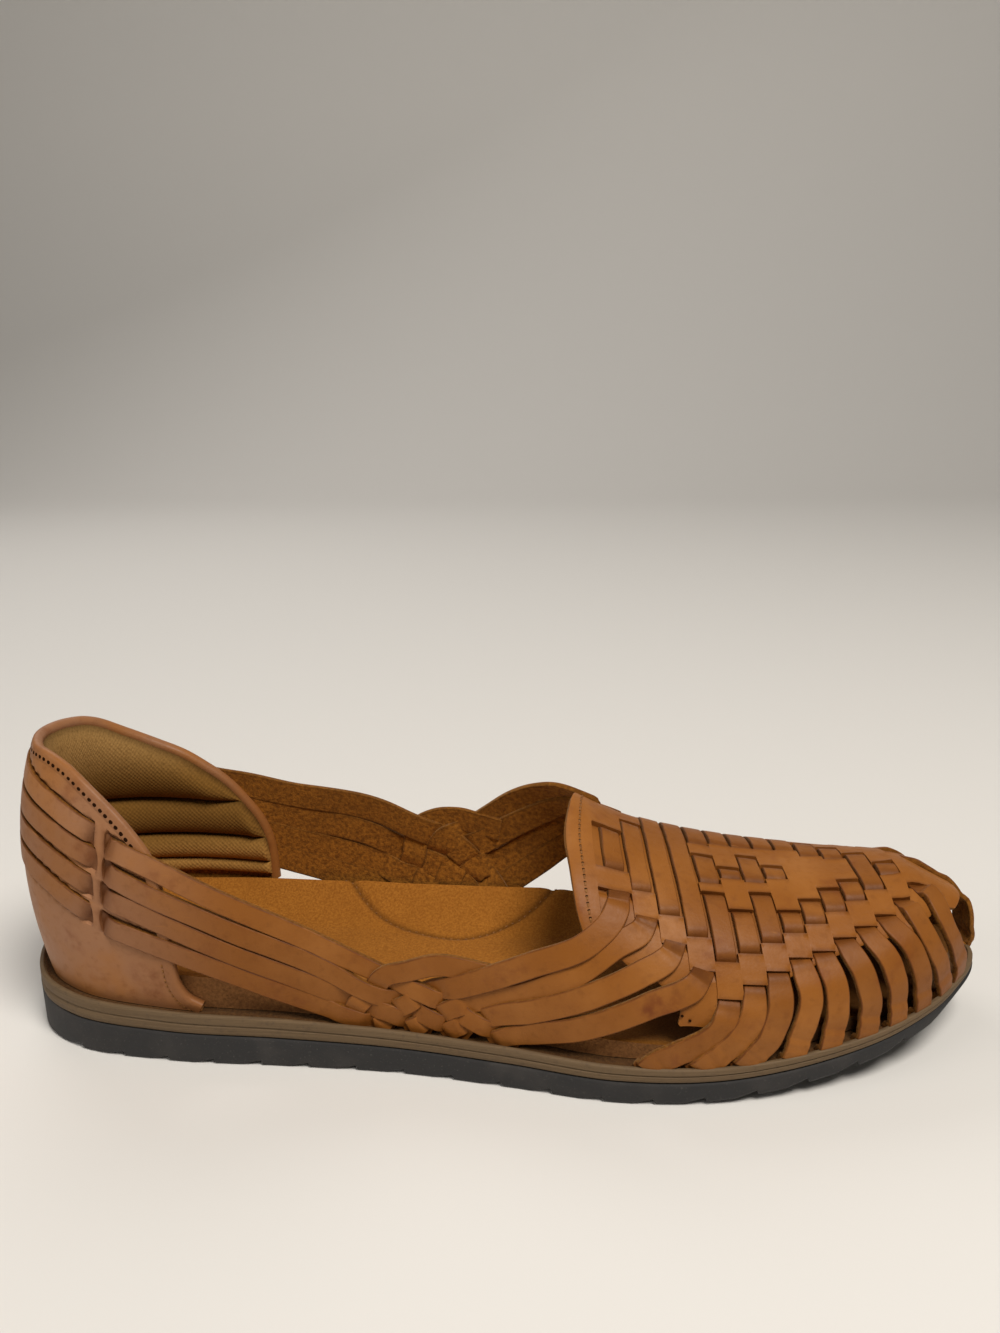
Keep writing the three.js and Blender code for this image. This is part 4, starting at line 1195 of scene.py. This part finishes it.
fine = np.linspace(0, len(THROAT) - 1, 400)
throat_net, *throat_ends = edge_row(last_point(*carried_on(np.arange(len(THROAT)), THROAT)(fine).T))
toe_places = np.concatenate([TOE * [1, -1], [TOE_TIP], TOE[::-1]]).T
toe_points = last_point(*toe_places) + TOE_FULL[-1] * last_normal(*toe_places)
fine = np.linspace(0, len(toe_points) - 1, 200)
toe_net, *toe_ends = edge_row(carried_on(np.arange(len(toe_points)), toe_points)(fine))
K_END = ROWS + 1
all_k = np.arange(K_END + 1)
sheet_in_k = carried_on(all_k, np.array([throat_net, *net, toe_net]))
ends_w = np.array([throat_ends, *edges_w, toe_ends])
edge_low, edge_high = (carried_on(all_k, line) for line in ends_w.T)
print("throat ends", np.round(throat_ends, 1), "toe ends", np.round(toe_ends, 1))


def sheet(k, w):
    """Points of S(k, w) for arrays of the same shape."""
    k, w = np.broadcast_arrays(np.asarray(k, float), np.asarray(w, float))
    lines, where = np.unique(k.ravel(), return_inverse=True)
    out = np.zeros((k.size, 3))
    flat = w.ravel()
    for n, value in enumerate(lines):
        mine = where == n
        out[mine] = carried_on(W_KNOTS, sheet_in_k(value))(flat[mine])
    return out.reshape(*k.shape, 3)


def sheet_normal(k, w, step=0.02):
    along = sheet(np.minimum(k + step, K_END), w) - sheet(np.maximum(k - step, 0), w)
    across = sheet(k, w + 10 * step) - sheet(k, w - 10 * step)
    return unit(np.cross(along, across))


# %% [markdown]
# ### The apron
# Where a strap shows, the apron lies pressed under it; where a strap is hidden, the apron bulges over
# it, and its cut lip stands up at the slit. The grid has a pair of close lines at each slit and each
# strap edge, so those steps are as crisp as a cut.

# %% Apron with slits
# levels over the sheet: under a strap, over a hidden one, rise of a lip, and beyond the last slots
LOW, HIGH, LIP, WING = -1.15, 0.12, 0.22, -0.3
# reach of a lip, and where behind the last slots the apron comes up again, and in what length
LIP_RUN, WING_AFTER, WING_RUN = 1.1, 0.6, 1.6
# half the width of a slit, the apron's thickness, and the step of its grid across the foot
SLIT, APRON_THICK, APRON_STEP = 0.06, 1.1, 1.1
# half of a row that belongs to its strap; the rest is the seam between two rows
ROW_WALL = 0.48
# the throat is pressed down in its middle: depth, rows, place of the middle and reach across
THROAT_DIP, DIP_ROWS, DIP_MIDDLE, DIP_REACH = 3.2, 0.7, 2, 12
# the cut edge is rounded over these rows and millimetres, by this depth
RIM_ROWS, RIM_REACH, RIM_DEPTH = 0.04, 0.35, 0.2
APRON_TONE = -0.35


def exposed(row):
    """Stretches of w where the strap lies on top."""
    return [(-FAR, slots_w[row][0]), *rows_shown[row], (slots_w[row][1], FAR)]


def throat_dip(k, w):
    return (THROAT_DIP * np.clip(1 - k / DIP_ROWS, 0, 1) ** 2
            * np.exp(-(((w - DIP_MIDDLE) / DIP_REACH) ** 2)))


def row_level(row, w):
    """Level of the apron along one row, and how much its lip rises near a slit."""
    level, lip = np.full(w.shape, HIGH), np.zeros(w.shape)
    for span in exposed(row):
        level = np.where((w > span[0]) & (w < span[1]), LOW, level)
        for end in span:
            if abs(end) < FAR:
                lip = np.maximum(lip, np.exp(-(((w - end) / LIP_RUN) ** 2)))
    beyond = np.maximum(slots_w[row][0] - w, w - slots_w[row][1])
    wing = LOW + (WING - LOW) * ramp((beyond - WING_AFTER) / WING_RUN)
    return np.where(beyond > 0, wing, level), lip


spans = [span for row in range(ROWS) for span in exposed(row)]
slit_w = np.array(sorted({round(w, 2) for span in spans for w in span if abs(w) < FAR}))
w_lines = np.concatenate([np.arange(-50, 56, APRON_STEP), slit_w - SLIT, slit_w + SLIT])
w_lines = np.unique(np.round(w_lines, 2))
# lines along the foot: a close pair at both edges of each row, and close ones at the throat and the toe
k_row = np.array([-0.488, -0.472, -0.25, 0, 0.25, 0.472, 0.488])
k_lines = np.concatenate([[0, 0.03, 0.12, 0.3, 0.45], *[row + k_row for row in range(1, K_END)],
                          [14.7, 14.9, 14.97, K_END]])
w_low, w_high = edge_low(k_lines), edge_high(k_lines)
first_w = np.searchsorted(w_lines, w_low, side="right") - 1
last_w = np.searchsorted(w_lines, w_high, side="left")
K, W = np.meshgrid(k_lines, w_lines, indexing="ij")
W = np.clip(W, w_low[:, None], w_high[:, None])
nearest = np.clip(np.round(K), 1, ROWS).astype(int)
off_row = K - nearest
print("apron grid:", K.shape)

# %% The apron's levels
levels = np.full(K.shape, HIGH)
slit_shades = np.zeros(K.shape)
for row in range(ROWS):
    here = (nearest == row + 1) & (np.abs(off_row) < ROW_WALL)
    level, lip = row_level(row, W)
    arch = 0.6 + 0.4 * np.sqrt(np.clip(1 - (off_row / 0.5) ** 2, 0, 1))
    levels = np.where(here, level + np.where(level > 0, LIP * lip * arch, 0), levels)
    # painted shade at the lips of the slits
    slit_shades = np.where(here, lip ** 3, slit_shades)
for row in range(ROWS - 1):
    seam = (K > row + 1 + ROW_WALL) & (K < row + 2 - ROW_WALL)
    levels = np.where(seam, np.maximum(row_level(row, W)[0], row_level(row + 1, W)[0]), levels)
levels -= throat_dip(K, W)
to_ends = np.minimum(K, K_END - K) / RIM_ROWS
to_sides = np.minimum(W - w_low[:, None], w_high[:, None] - W) / RIM_REACH
at_rim = np.clip(1 - np.minimum(to_ends, to_sides), 0, 1)
levels -= RIM_DEPTH * at_rim
apron_skin, apron_normal = sheet(K, W), sheet_normal(K, W)
apron = Joined()
add_sheet(apron, apron_skin + apron_normal * levels[..., None],
          apron_skin + apron_normal * (levels - APRON_THICK)[..., None], cut=(first_w, last_w),
          edge=at_rim, dive=0.7 * slit_shades, tone=APRON_TONE)
apron.place("vamp_apron", [tan_leather, strap_suede], "upper", "upper_leather")

# %% [markdown]
# ### Vamp straps
# Straps 1 to 4 leave the apron by their outer slots and run back into the braid. Straps 5 to 14 come
# down to the sole as short bands. All of them are threaded through the slits of the apron, so the
# list of a strap's places goes from one foot, over the top, to the other foot.

# %% Ways of the vamp straps
# from each slot back to the braid: (s, z) with a level, then crossings with the side straps 1 to 4
VAMP_RUNS = [
    [(0.596, 45.6, 0.5), (0.573, 40.9, 0.5), (0.522, 35.2, 0.55), (0.458, 27.4, 0.5)],
    [(0.598, 40.1, 0.1), (0.562, 33.6, -0.3), (0.503, 25.4, -0.4), (0.471, 23.1, -0.3)],
    [(0.646, 39.3, 0.5), (0.621, 34.1, 0.5), (0.585, 29.7, 0.5), (0.522, 22.5, 0.4),
     (0.490, 19.9, 0.2)],
    [(0.665, 32.4, 0.5), (0.630, 27, 0.5), (0.566, 19.4, 0.4), (0.522, 15.7, 0.2)],
]
VAMP_CROSSINGS = [
    [(0.425, 23.9), (0.408, 20.1), (0.393, 17.2), (0.383, 12.7)],
    [(0.450, 20.5), (0.430, 16.6), (0.416, 13.7)],
    [(0.469, 17.3), (0.450, 14.2)],
    [(0.496, 13.5)],
]
# the same on the inner side, as (s, a) to the edge of the braid
INNER_RUNS = [
    [(0.566, 0.255), (0.541, 0.338), (0.517, 0.455), (0.492, 0.558), (0.467, 0.655), (0.445, 0.72)],
    [(0.572, 0.33), (0.556, 0.385), (0.537, 0.479), (0.519, 0.56), (0.486, 0.672), (0.457, 0.75)],
    [(0.585, 0.43), (0.56, 0.52), (0.539, 0.6), (0.506, 0.725), (0.473, 0.816)],
    [(0.6, 0.52), (0.56, 0.635), (0.541, 0.702), (0.515, 0.794), (0.488, 0.866)],
]
# levels of straps 1 to 4 on that way, and their ends at the sole as (s, z)
INNER_LEVELS = (0.6, -0.3, 0.5, 0.4)
VAMP_ENDS = [(0.377, 10.8), (0.405, 10.8), (0.439, 10.6), (0.482, 10.4)]
# widths of straps 1 to 4 outside the braid, of every strap in the apron, and of the bands
STRAP_WIDTH, WOVEN_WIDTH = 6.8, 5.6
BAND_WIDTHS = (6.9, 6.9, 6.8, 6.6, 6.5, 6.4, 6.2, 6.1, 6.0, 6.0)
# level of a strap that shows on the apron, and of one that is hidden in it
ON_APRON, IN_APRON = -0.3, -1.85
# straps 1 to 4 leave the outer slot nearly square to its slit before they turn back
LEAD, CLEAR_OF_LEAD = 3.0, 5.0
# level of a band by its reach down the side: it lies on the apron's rim and bulges over the sole's
BAND_LEVELS = np.array([(0.3, 0.5), (0.75, 0.65), (0.9, 0.95), (0.965, 1.9), (0.985, 2.3), (1, 0.8)])
# the foot of a band: where it starts, its places, and how far its end goes down into the recess
FOOT_FROM, BAND_FEET, FOOT_DROP = 0.95, (0.965, 0.985, 1.0), 1.2
# a band's fullness fades out over this part of the way to the sole
FULL_RAMP = 0.06
# a place nearer the slot than this is left out
BAND_CLEAR = 5.5
print("straps into the braid:", len(VAMP_RUNS), "and bands:", len(BANDS))

# %% Tails of the vamp straps


def braid_tail(row, side):
    """A strap from its slot back through the braid to the sole, as (s, a, level)."""
    if side < 0:
        tail = [(*side_place(s, z, side), level) for s, z, level in VAMP_RUNS[row]]
    else:
        tail = [(s, a, INNER_LEVELS[row]) for s, a in INNER_RUNS[row]]
    for i, (s, z) in enumerate(VAMP_CROSSINGS[row]):
        tail.append((*side_place(s, z, side), crossing_level(i + 1, row + 1, False)))
    return tail + [(*side_place(*VAMP_ENDS[row], side), END_LEVEL)]


def band_tail(row, side):
    """A band from its slot down to the sole, in the same way."""
    reaches = [reach for _, reach in BANDS[row - BRAIDED] if reach < FOOT_FROM] + list(BAND_FEET)
    move, on = 0.0, 0
    if side > 0:
        move = (inner_slots[row] - SLOTS[row][0]) / (1 - SLOTS[row][1])
        on = INNER_ON.get(row, 0)
    full = BAND_FULL[row - FULL_FROM] if row >= FULL_FROM else 0.0
    way = [(band_s(row, reach) + move * (1 - reach) + on, reach, full * ramp((1 - reach) / FULL_RAMP))
           for reach in reaches]
    if side > 0 and row == ROWS - 1:
        way = TOE_BAND
    tail = [(s, side * reach, float(np.interp(reach, *BAND_LEVELS.T)) + out) for s, reach, out in way]
    slot_point = sheet(row + 1.0, slots_w[row][0 if side < 0 else 1])
    near = np.linalg.norm(last_point(*tail[0][:2]) - slot_point) < BAND_CLEAR
    return tail[1:] if near else tail


def with_lead(row, tail, points, normals):
    """An outer tail with one more point, which leads the strap out of its slot."""
    slot_w = np.array([slots_w[row][0]])
    square, slot_point = sheet(row + 1.0, slot_w - LEAD), sheet(row + 1.0, slot_w)
    clear = np.linalg.norm(points - square, axis=1) > CLEAR_OF_LEAD
    back = slot_point + LEAD * unit(points[clear][-1:] - slot_point)
    tail = [place for place, kept in zip(tail, clear) if kept] + [(0, 0, tail[-1][2])]
    points = np.concatenate([points[clear], (square + back) / 2])
    return tail, points, np.concatenate([normals[clear], sheet_normal(row + 1.0, slot_w - LEAD)])


print("places of the first band:", len(band_tail(BRAIDED, -1)))

# %% Woven straps and bands
# places between two slots, and how near a slit they may be
TOP_PLACES, TOP_CLEAR = 15, 1.5
# lengths in which its width changes: beside a slot, out of the outer braid, and on the inner side
NARROW, WIDEN_BRAID, WIDEN_FAR = 6, 12, 30

vamp_straps = Joined()
for row in range(ROWS):
    braided = row < BRAIDED
    make_tail = braid_tail if braided else band_tail
    outer_tail, inner_tail = make_tail(row, -1)[::-1], make_tail(row, 1)
    outer_points, outer_normals = on_last([place[:2] for place in outer_tail])
    inner_points, inner_normals = on_last([place[:2] for place in inner_tail])
    if braided:
        outer_tail, outer_points, outer_normals = with_lead(
            row, outer_tail, outer_points, outer_normals)
    else:
        outer_points[0, 2] -= FOOT_DROP
        inner_points[-1, 2] -= FOOT_DROP
    low, high = slots_w[row]
    edges = {a: "up" for a, _ in rows_shown[row]} | {b: "down" for _, b in rows_shown[row]}
    spare = [w for w in np.linspace(low, high, TOP_PLACES)[1:-1]
             if min([abs(w - edge) for edge in edges] or [FAR]) > TOP_CLEAR]
    stops = sorted([*edges, *spare])
    w_stops = np.array([low, *stops, high])
    top_points, top_normals = sheet(row + 1.0, w_stops), sheet_normal(row + 1.0, w_stops)
    tags = [place[2] for place in outer_tail] + ["down"] + [edges.get(w) for w in stops] + ["up"]
    tags += [place[2] for place in inner_tail]
    points, normals, distance, place = lay(
        np.concatenate([outer_points, top_points, inner_points]),
        np.concatenate([outer_normals, top_normals, inner_normals]))
    marks, slits = levels_of(place, tags, ON_APRON, IN_APRON)
    first, last = place[len(outer_tail)], place[len(outer_tail) + len(w_stops) - 1]
    if braided:
        start, free, inner_free = BRAID_WIDTH, STRAP_WIDTH, INNER_WIDTH
        in_braid = place[min(len(VAMP_CROSSINGS[row]), len(outer_tail) - 1)]
    else:
        start = free = BAND_WIDTHS[row - BRAIDED]
        inner_free = TOE_BAND_WIDTH if row == ROWS - 1 else free
        in_braid = 0.5
    width = eased(distance, [
        (0, start), (in_braid, start), (in_braid + WIDEN_BRAID, free), (first - NARROW, free),
        (first, WOVEN_WIDTH), (last, WOVEN_WIDTH), (last + NARROW, free),
        (last + WIDEN_FAR, inner_free), (distance[-1], inner_free)])
    strap(vamp_straps, points, normals, distance, width, eased(distance, marks), slits,
          rng.uniform(-TONE, TONE))
vamp_straps.place("vamp_straps", [tan_leather, strap_suede], "upper", "upper_leather")

# %% [markdown]
# ### The loop over the braid
# A short strap on each side arches over the top of the braid: it comes out from under the first vamp
# strap and goes down across the side straps.

# %% Braid loops
# the arch on the outer side, as (s, z, level)
LOOP_RUN = [(0.495, 30.2, -1.0), (0.471, 31.6, -0.2), (0.438, 32.8, 0.5), (0.411, 30.4, 0.6)]
# on the inner side, as (s, a, level)
LOOP_INNER = [(0.475, 0.69, -1.0), (0.455, 0.693, -0.2), (0.43, 0.695, 0.5), (0.41, 0.712, 0.6)]
LOOP_END, LOOP_END_LEVEL = (0.350, 11.4), -0.5
LOOP_WIDTH, LOOP_INNER_WIDTH, LOOP_TONE = 5.9, 7.6, 0.2
braid_loops = Joined()
for side, width in ((-1, LOOP_WIDTH), (1, LOOP_INNER_WIDTH)):
    places = list(LOOP_INNER)
    if side < 0:
        places = [(*side_place(s, z, side), level) for s, z, level in LOOP_RUN]
    for i, crossings in enumerate(SIDE_CROSSINGS):
        places.append((*side_place(*crossings[0], side), crossing_level(i + 1, 0, False)))
    places.append((*side_place(*LOOP_END, side), LOOP_END_LEVEL))
    points, normals, distance, place = lay(*on_last([spot[:2] for spot in places]))
    marks = [(p, level) for p, (_, _, level) in zip(place, places)]
    strap(braid_loops, points, normals, distance, np.full(len(distance), width), eased(distance, marks),
          tone=LOOP_TONE)
braid_loops.place("braid_loops", [tan_leather, strap_suede], "upper", "upper_leather")

# %% [markdown]
# ## Heel
# The counter is the smooth leather cup round the heel, and its top edge runs down to the sole in front
# on both sides. That edge is one smooth line of (t, height), where t is s with the outer side negative.
# The wall is a fan of columns under it. Where a strap lies on it the wall is pressed in, and between
# the two slots of a strap it stands up as a narrow bridge.

# %% The edge of the heel
HEEL_EDGE = np.array([
    (-0.233, 16.4), (-0.222, 18.6), (-0.2165, 22), (-0.2145, 28), (-0.2135, 36), (-0.2105, 48),
    (-0.202, 59.6), (-0.187, 66.8), (-0.157, 76.4), (-0.125, 83), (-0.095, 86.0), (-0.05, 86.8),
    (0, 86.5), (0.035, 85.9), (0.08, 83.2), (0.118, 77.8), (0.146, 73.6), (0.171, 69.4), (0.189, 65),
    (0.21, 59), (0.226, 52.4), (0.239, 45.6), (0.246, 38.8), (0.2485, 32), (0.2495, 25),
])
# millimetres for one s round the heel
HEEL_SCALE = 320.0


def edge_line(inset, count):
    """(t, height) along the heel's edge, moved inwards by inset mm."""
    flat = HEEL_EDGE * [HEEL_SCALE, 1]
    knots = distances(flat)
    line = carried_on(knots, flat)(np.linspace(0, knots[-1], count))
    run = unit(np.gradient(line, axis=0))
    moved = line + np.stack([run[:, 1], -run[:, 0]], -1) * inset
    return moved[:, 0] / HEEL_SCALE, moved[:, 1]


def heel_place(t, z):
    """Point and normal on the last at signed along t and height z."""
    s, side = np.abs(t), np.where(t < 0, -1.0, 1.0)
    a = at_height(s, side, z)
    return last_point(s, a), last_normal(s, a)


print("heel edge:", len(HEEL_EDGE), "places")

# %% Counter
# the wall ends this far below the edge line, and goes this far down into the recess
WALL_TOP, WALL_FOOT, WALL_LEAST = 1.3, 1.0, 0.5
# in s: half the width of a slit's cut, room beside it, how far it bows out, and which points are on it
CUT_HALF, CUT_CLEAR, SLOT_BOW, ON_CUT = 5e-4, 0.0024, 0.0022, 7e-4
# in mm: half the width of the place a strap is pressed into, its edge, its depth, and the bridge's rise
PRESS_HALF, PRESS_EDGE, PRESS, BRIDGE = 3.75, 0.5, 1.1, 0.12
# in mm: reach of the painted shade, dark leather in front of a slot and behind it
SLOT_SHADE_FRONT, SLOT_SHADE_BACK = 1.2, 0.8
COUNTER_TONE = -0.45

wall_t, wall_z = edge_line(WALL_TOP, 260)
slits_t = np.array([s + off for s in (*SLOT_BACKS, *SLOT_FRONTS) for off in (-CUT_HALF, CUT_HALF)])
slits_t = np.concatenate([slits_t, -slits_t])
clear = np.min(np.abs(wall_t[:, None] - slits_t), axis=1) > CUT_CLEAR
t_lines = np.unique(np.concatenate([wall_t[clear], slits_t]))
order = np.argsort(wall_t)
T, R = np.meshgrid(t_lines, np.linspace(0, 1, 81), indexing="ij")
s_of = np.abs(T)
base = foot_height(s_of) - WALL_FOOT
top = np.maximum(np.interp(T, wall_t[order], wall_z[order]), base + WALL_LEAST)
z = base + (top - base) * R
levels, slit_shades, bows = np.zeros((3, *T.shape))
for i, (back, slot) in enumerate(HEEL_STRIPS):
    slot_back, slot_front = SLOT_BACKS[i], SLOT_FRONTS[i]
    round_heel = back + (slot - back) * (s_of / slot_back) ** 2
    in_front = np.interp(s_of, [slot_back, *SIDE_SECTIONS[:2]], [slot, *SIDE_STRAPS[i][:2]])
    middle = np.where(s_of < slot_back, round_heel, in_front)
    near = np.clip((PRESS_HALF - np.abs(z - middle)) / PRESS_EDGE, 0, 1)
    bridge = (s_of > slot_back) & (s_of < slot_front)
    levels += np.where(bridge, BRIDGE * near, -PRESS * near)
    # painted shade in front of a slot and behind it
    shade_front = np.exp(-(((s_of - slot_front) * HEEL_SCALE / SLOT_SHADE_FRONT) ** 2))
    shade_back = 0.5 * np.exp(-(((s_of - slot_back) * HEEL_SCALE / SLOT_SHADE_BACK) ** 2))
    slit_shades = np.maximum(slit_shades, near * np.maximum(shade_front, shade_back))
    bow = SLOT_BOW * np.clip(1 - ((z - middle) / PRESS_HALF) ** 2, 0, 1)
    at_back, at_front = (np.where(np.abs(s_of - cut) < ON_CUT, 1, 0) for cut in (slot_back, slot_front))
    bows += bow * (at_back - at_front)
T = T + bows * np.sign(T)
skin, normal = heel_place(T, z)
counter = Joined()
add_sheet(counter, skin + normal * levels[..., None], skin - normal * WALL, dive=0.9 * slit_shades,
          tone=COUNTER_TONE)
counter.place("counter", [tan_leather, strap_suede], "upper", "upper_leather")

# %% [markdown]
# ### Collar binding
# A strip of leather is folded over the raw edge of the counter and sewn through. Its section is a
# hairpin with a full round top, swept along the same edge line.

# %% Binding
# up from the edge line, and out from the wall's outer face
HAIRPIN = np.array([
    (-3.3, -0.1), (-3.25, 0.12), (-2.9, 0.18), (-1.4, 0.24), (-0.7, 0.16), (-0.25, -0.15),
    (-0.03, -0.65), (0, -1.2), (-0.12, -1.8), (-0.45, -2.4), (-0.95, -2.75), (-1.7, -2.9),
    (-2.45, -2.8), (-2.6, -2.5), (-2.45, -2.1), (-1.2, -2.02), (-1.2, -0.1),
])
BINDING_TONE = 0.1
way_t, way_z = edge_line(0, 240)
edge_points, edge_out = heel_place(way_t, way_z)
edge_run = unit(np.gradient(edge_points, axis=0))
edge_up = unit(np.cross(edge_run, edge_out))
rows, n = len(way_t), len(HAIRPIN)
ring = (edge_points[:, None] + edge_up[:, None] * HAIRPIN[None, :, :1]
        + edge_out[:, None] * HAIRPIN[None, :, 1:])
binding = Joined()
binding.add(ring, tube_faces(rows, n, flip=True), tone=BINDING_TONE,
            edge=np.tile(np.linspace(0.2, 0.9, n), rows))
binding.place("collar_roll", [binding_leather], "collar_binding", "binding_leather")

# %% [markdown]
# ### Quilted lining
# The inside of the heel is padded with a foam-backed cloth, quilted by three rows of sewing that run
# level round the heel. A pad is full between two rows and pulled thin along them, so its section is an
# arch whose ends fall steeply into the seams.

# %% Heel lining
# heights of the foot and of the three seams at these places along the heel, and the pads' fullness
SEAM_S = (0.0, 0.18, 0.25)
SEAMS = [(29.5, 28, 26.5), (34.5, 32.6, 31), (43.5, 41.2, 39.4), (57, 53.5, 51.5)]
FULLNESS = (1.6, 3.0, 3.6, 4.6)
# the lining's top edge lies this far under the collar's line, and it ends at this height in front
TOP_INSET, FRONT_END = 1.7, 32
# the cloth's two faces at a seam, inwards from the wall, and the columns that its ends fade out in
CLOTH_BACK, CLOTH_FACE, END_COLUMNS = 0.35, 0.95, 5
line_t, line_z = edge_line(TOP_INSET, 150)
keep = line_z > FRONT_END
line_t, line_z = line_t[keep], line_z[keep]
heights = [np.interp(np.abs(line_t), SEAM_S, seam) for seam in SEAMS] + [line_z]
heights = [np.minimum(h, line_z) for h in heights]
share = np.linspace(0, 1, 17)
z_rows, puffs, creases = [], [], []
for low, high, full in zip(heights, heights[1:], FULLNESS):
    z_rows.append(low[:, None] + (high - low)[:, None] * share[None, :-1])
    arch = np.sqrt(4 * share * (1 - share))[None, :-1]
    puffs.append(np.minimum(full, 0.5 * (high - low))[:, None] * arch)
    creases.append(np.broadcast_to(np.exp(-((arch / 0.45) ** 2)), z_rows[-1].shape))
z_rows.append(line_z[:, None])
puffs.append(np.zeros((len(line_t), 1)))
creases.append(np.ones((len(line_t), 1)))
z, puff, crease = (np.concatenate(parts, 1) for parts in (z_rows, puffs, creases))
T = np.broadcast_to(line_t[:, None], z.shape)
columns = np.arange(len(line_t))
ends = np.clip(np.minimum(columns, columns[::-1]) / END_COLUMNS, 0, 1) ** 0.5
skin, normal = heel_place(T, z)
inner = skin - normal * (WALL + CLOTH_FACE + puff * ends[:, None])[..., None]
outer = skin - normal * (WALL + CLOTH_BACK)
around = np.broadcast_to(distances(skin[:, 10])[:, None], T.shape)
lining = Joined()
# painted shade: the creases darken the cloth near each seam
add_sheet(lining, inner, outer, (0, 0), dive=crease, run=around, level=z)
lining_piece = lining.place("quilted_lining", [cloth], "heel_lining", "lining_cloth")

# %% [markdown]
# ## Sewing
# Stitches are short rounded threads that sink at both ends, and the holes of a row whose thread is
# pulled in are small dimples painted near black, as the shade inside a hole. Each row is one joined
# mesh, made by repeating a few points.

# %% One row of stitches
# along a thread and its thickness there, as shares; a share of its height is sunk into the leather
THREAD_SHAPE = ((-0.5, 0.25), (-0.38, 0.8), (-0.15, 1.0), (0.15, 1.0), (0.38, 0.8), (0.5, 0.25))
THREAD_SIDES, SUNK = 8, 0.3
THREAD, HOLE = 0, 1


def stitch_row(joined, points, normals, stitch, lift=0.0, finish=THREAD):
    """Threads along a line of points; stitch is pitch, length, width and height."""
    pitch, length, width, height = stitch
    line, lean, distance, _ = lay(points + normals * lift, normals, FINE_STEP)
    around = np.linspace(0, 2 * np.pi, THREAD_SIDES, endpoint=False)
    faces = tube_faces(len(THREAD_SHAPE), THREAD_SIDES, flip=True)
    for start in np.arange(pitch / 2, distance[-1] - pitch / 2, pitch):
        i = int(start / FINE_STEP)
        centre, out = line[i], lean[i]
        run = unit(line[min(i + 1, len(line) - 1)] - line[max(i - 1, 0)])
        side = np.cross(out, run)
        rings = [centre + run * along * length + np.outer(np.cos(around) * width / 2 * size, side)
                 + np.outer((np.sin(around) - SUNK) * height * size, out)
                 for along, size in THREAD_SHAPE]
        joined.add(np.concatenate(rings), faces, finish)


print("a stitch has", len(THREAD_SHAPE) * THREAD_SIDES, "points")

# %% Stitches and holes
# pitch, length, width and height of each kind
COLLAR_HOLES, FRONT_STITCHES = (2.1, 1.3, 1.2, 0.1), (1.6, 1.1, 0.5, 0.2)
THROAT_STITCHES, THROAT_HOLES = (1.95, 1.25, 0.65, 0.26), (1.95, 0.55, 0.8, 0.12)
ARCH_STITCHES, PINHOLE = (2.3, 0.9, 0.42, 0.15), (1.2, 0.8, 0.7, 0.1)
# inset from the heel's edge line of the collar's row and of the front row, and the heights they end at
COLLAR_INSET, COLLAR_END, FRONT_INSET, FRONT_TOP = 2.3, 57, 3.5, 30
# the throat's row on the apron, and how far it stays from the apron's sides
THROAT_K, THROAT_CLEAR, THROAT_LIFT = 0.26, 1.5, 0.16
# pinholes in the wing, as (s, a), each on a short line that slopes like the apron's edge
WING_PINHOLES = [(0.66, -0.816), (0.667, -0.833)]
PINHOLE_LINE = np.array([[-0.7, 0, 0.35], [0.7, 0, -0.35]])

sewing = Joined()
row_t, row_z = edge_line(COLLAR_INSET, 400)
on_top = row_z > COLLAR_END
stitch_row(sewing, *heel_place(row_t[on_top], row_z[on_top]), COLLAR_HOLES, 0.2, HOLE)
row_t, row_z = edge_line(FRONT_INSET, 400)
for side in (-1, 1):
    front = (side * row_t > 0) & (row_z < FRONT_TOP)
    stitch_row(sewing, *heel_place(row_t[front], row_z[front]), FRONT_STITCHES, 0.06)
throat_w = np.linspace(throat_ends[0] + THROAT_CLEAR, throat_ends[1] - THROAT_CLEAR, 120)
throat_k = np.full(len(throat_w), THROAT_K)
out = sheet_normal(throat_k, throat_w)
dip = THROAT_LIFT - throat_dip(throat_k, throat_w)
throat_points = sheet(throat_k, throat_w) + out * dip[:, None]
stitch_row(sewing, throat_points, out, THROAT_STITCHES)
stitch_row(sewing, throat_points[1:], out[1:], THROAT_HOLES, -0.02, HOLE)
at_seam = [int(np.argmin(np.linalg.norm(plan - place, axis=-1))) for place in seam_line[8:-8:4]]
seam_points = bed_top.reshape(-1, 3)[at_seam]
stitch_row(sewing, seam_points, np.tile([0.0, 0.0, 1.0], (len(seam_points), 1)), ARCH_STITCHES, 0.1)
for s, a in WING_PINHOLES:
    out = last_normal(s, a)
    stitch_row(sewing, last_point(s, a) + 0.05 * out + PINHOLE_LINE, np.array([out, out]), PINHOLE,
               finish=HOLE)
sewing.place("stitching", [thread, hole_shade])

# %% Sizes and the end
low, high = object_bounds()
print("dressed box, mm:", [round(v / MM, 1) for v in (*low, *high)])
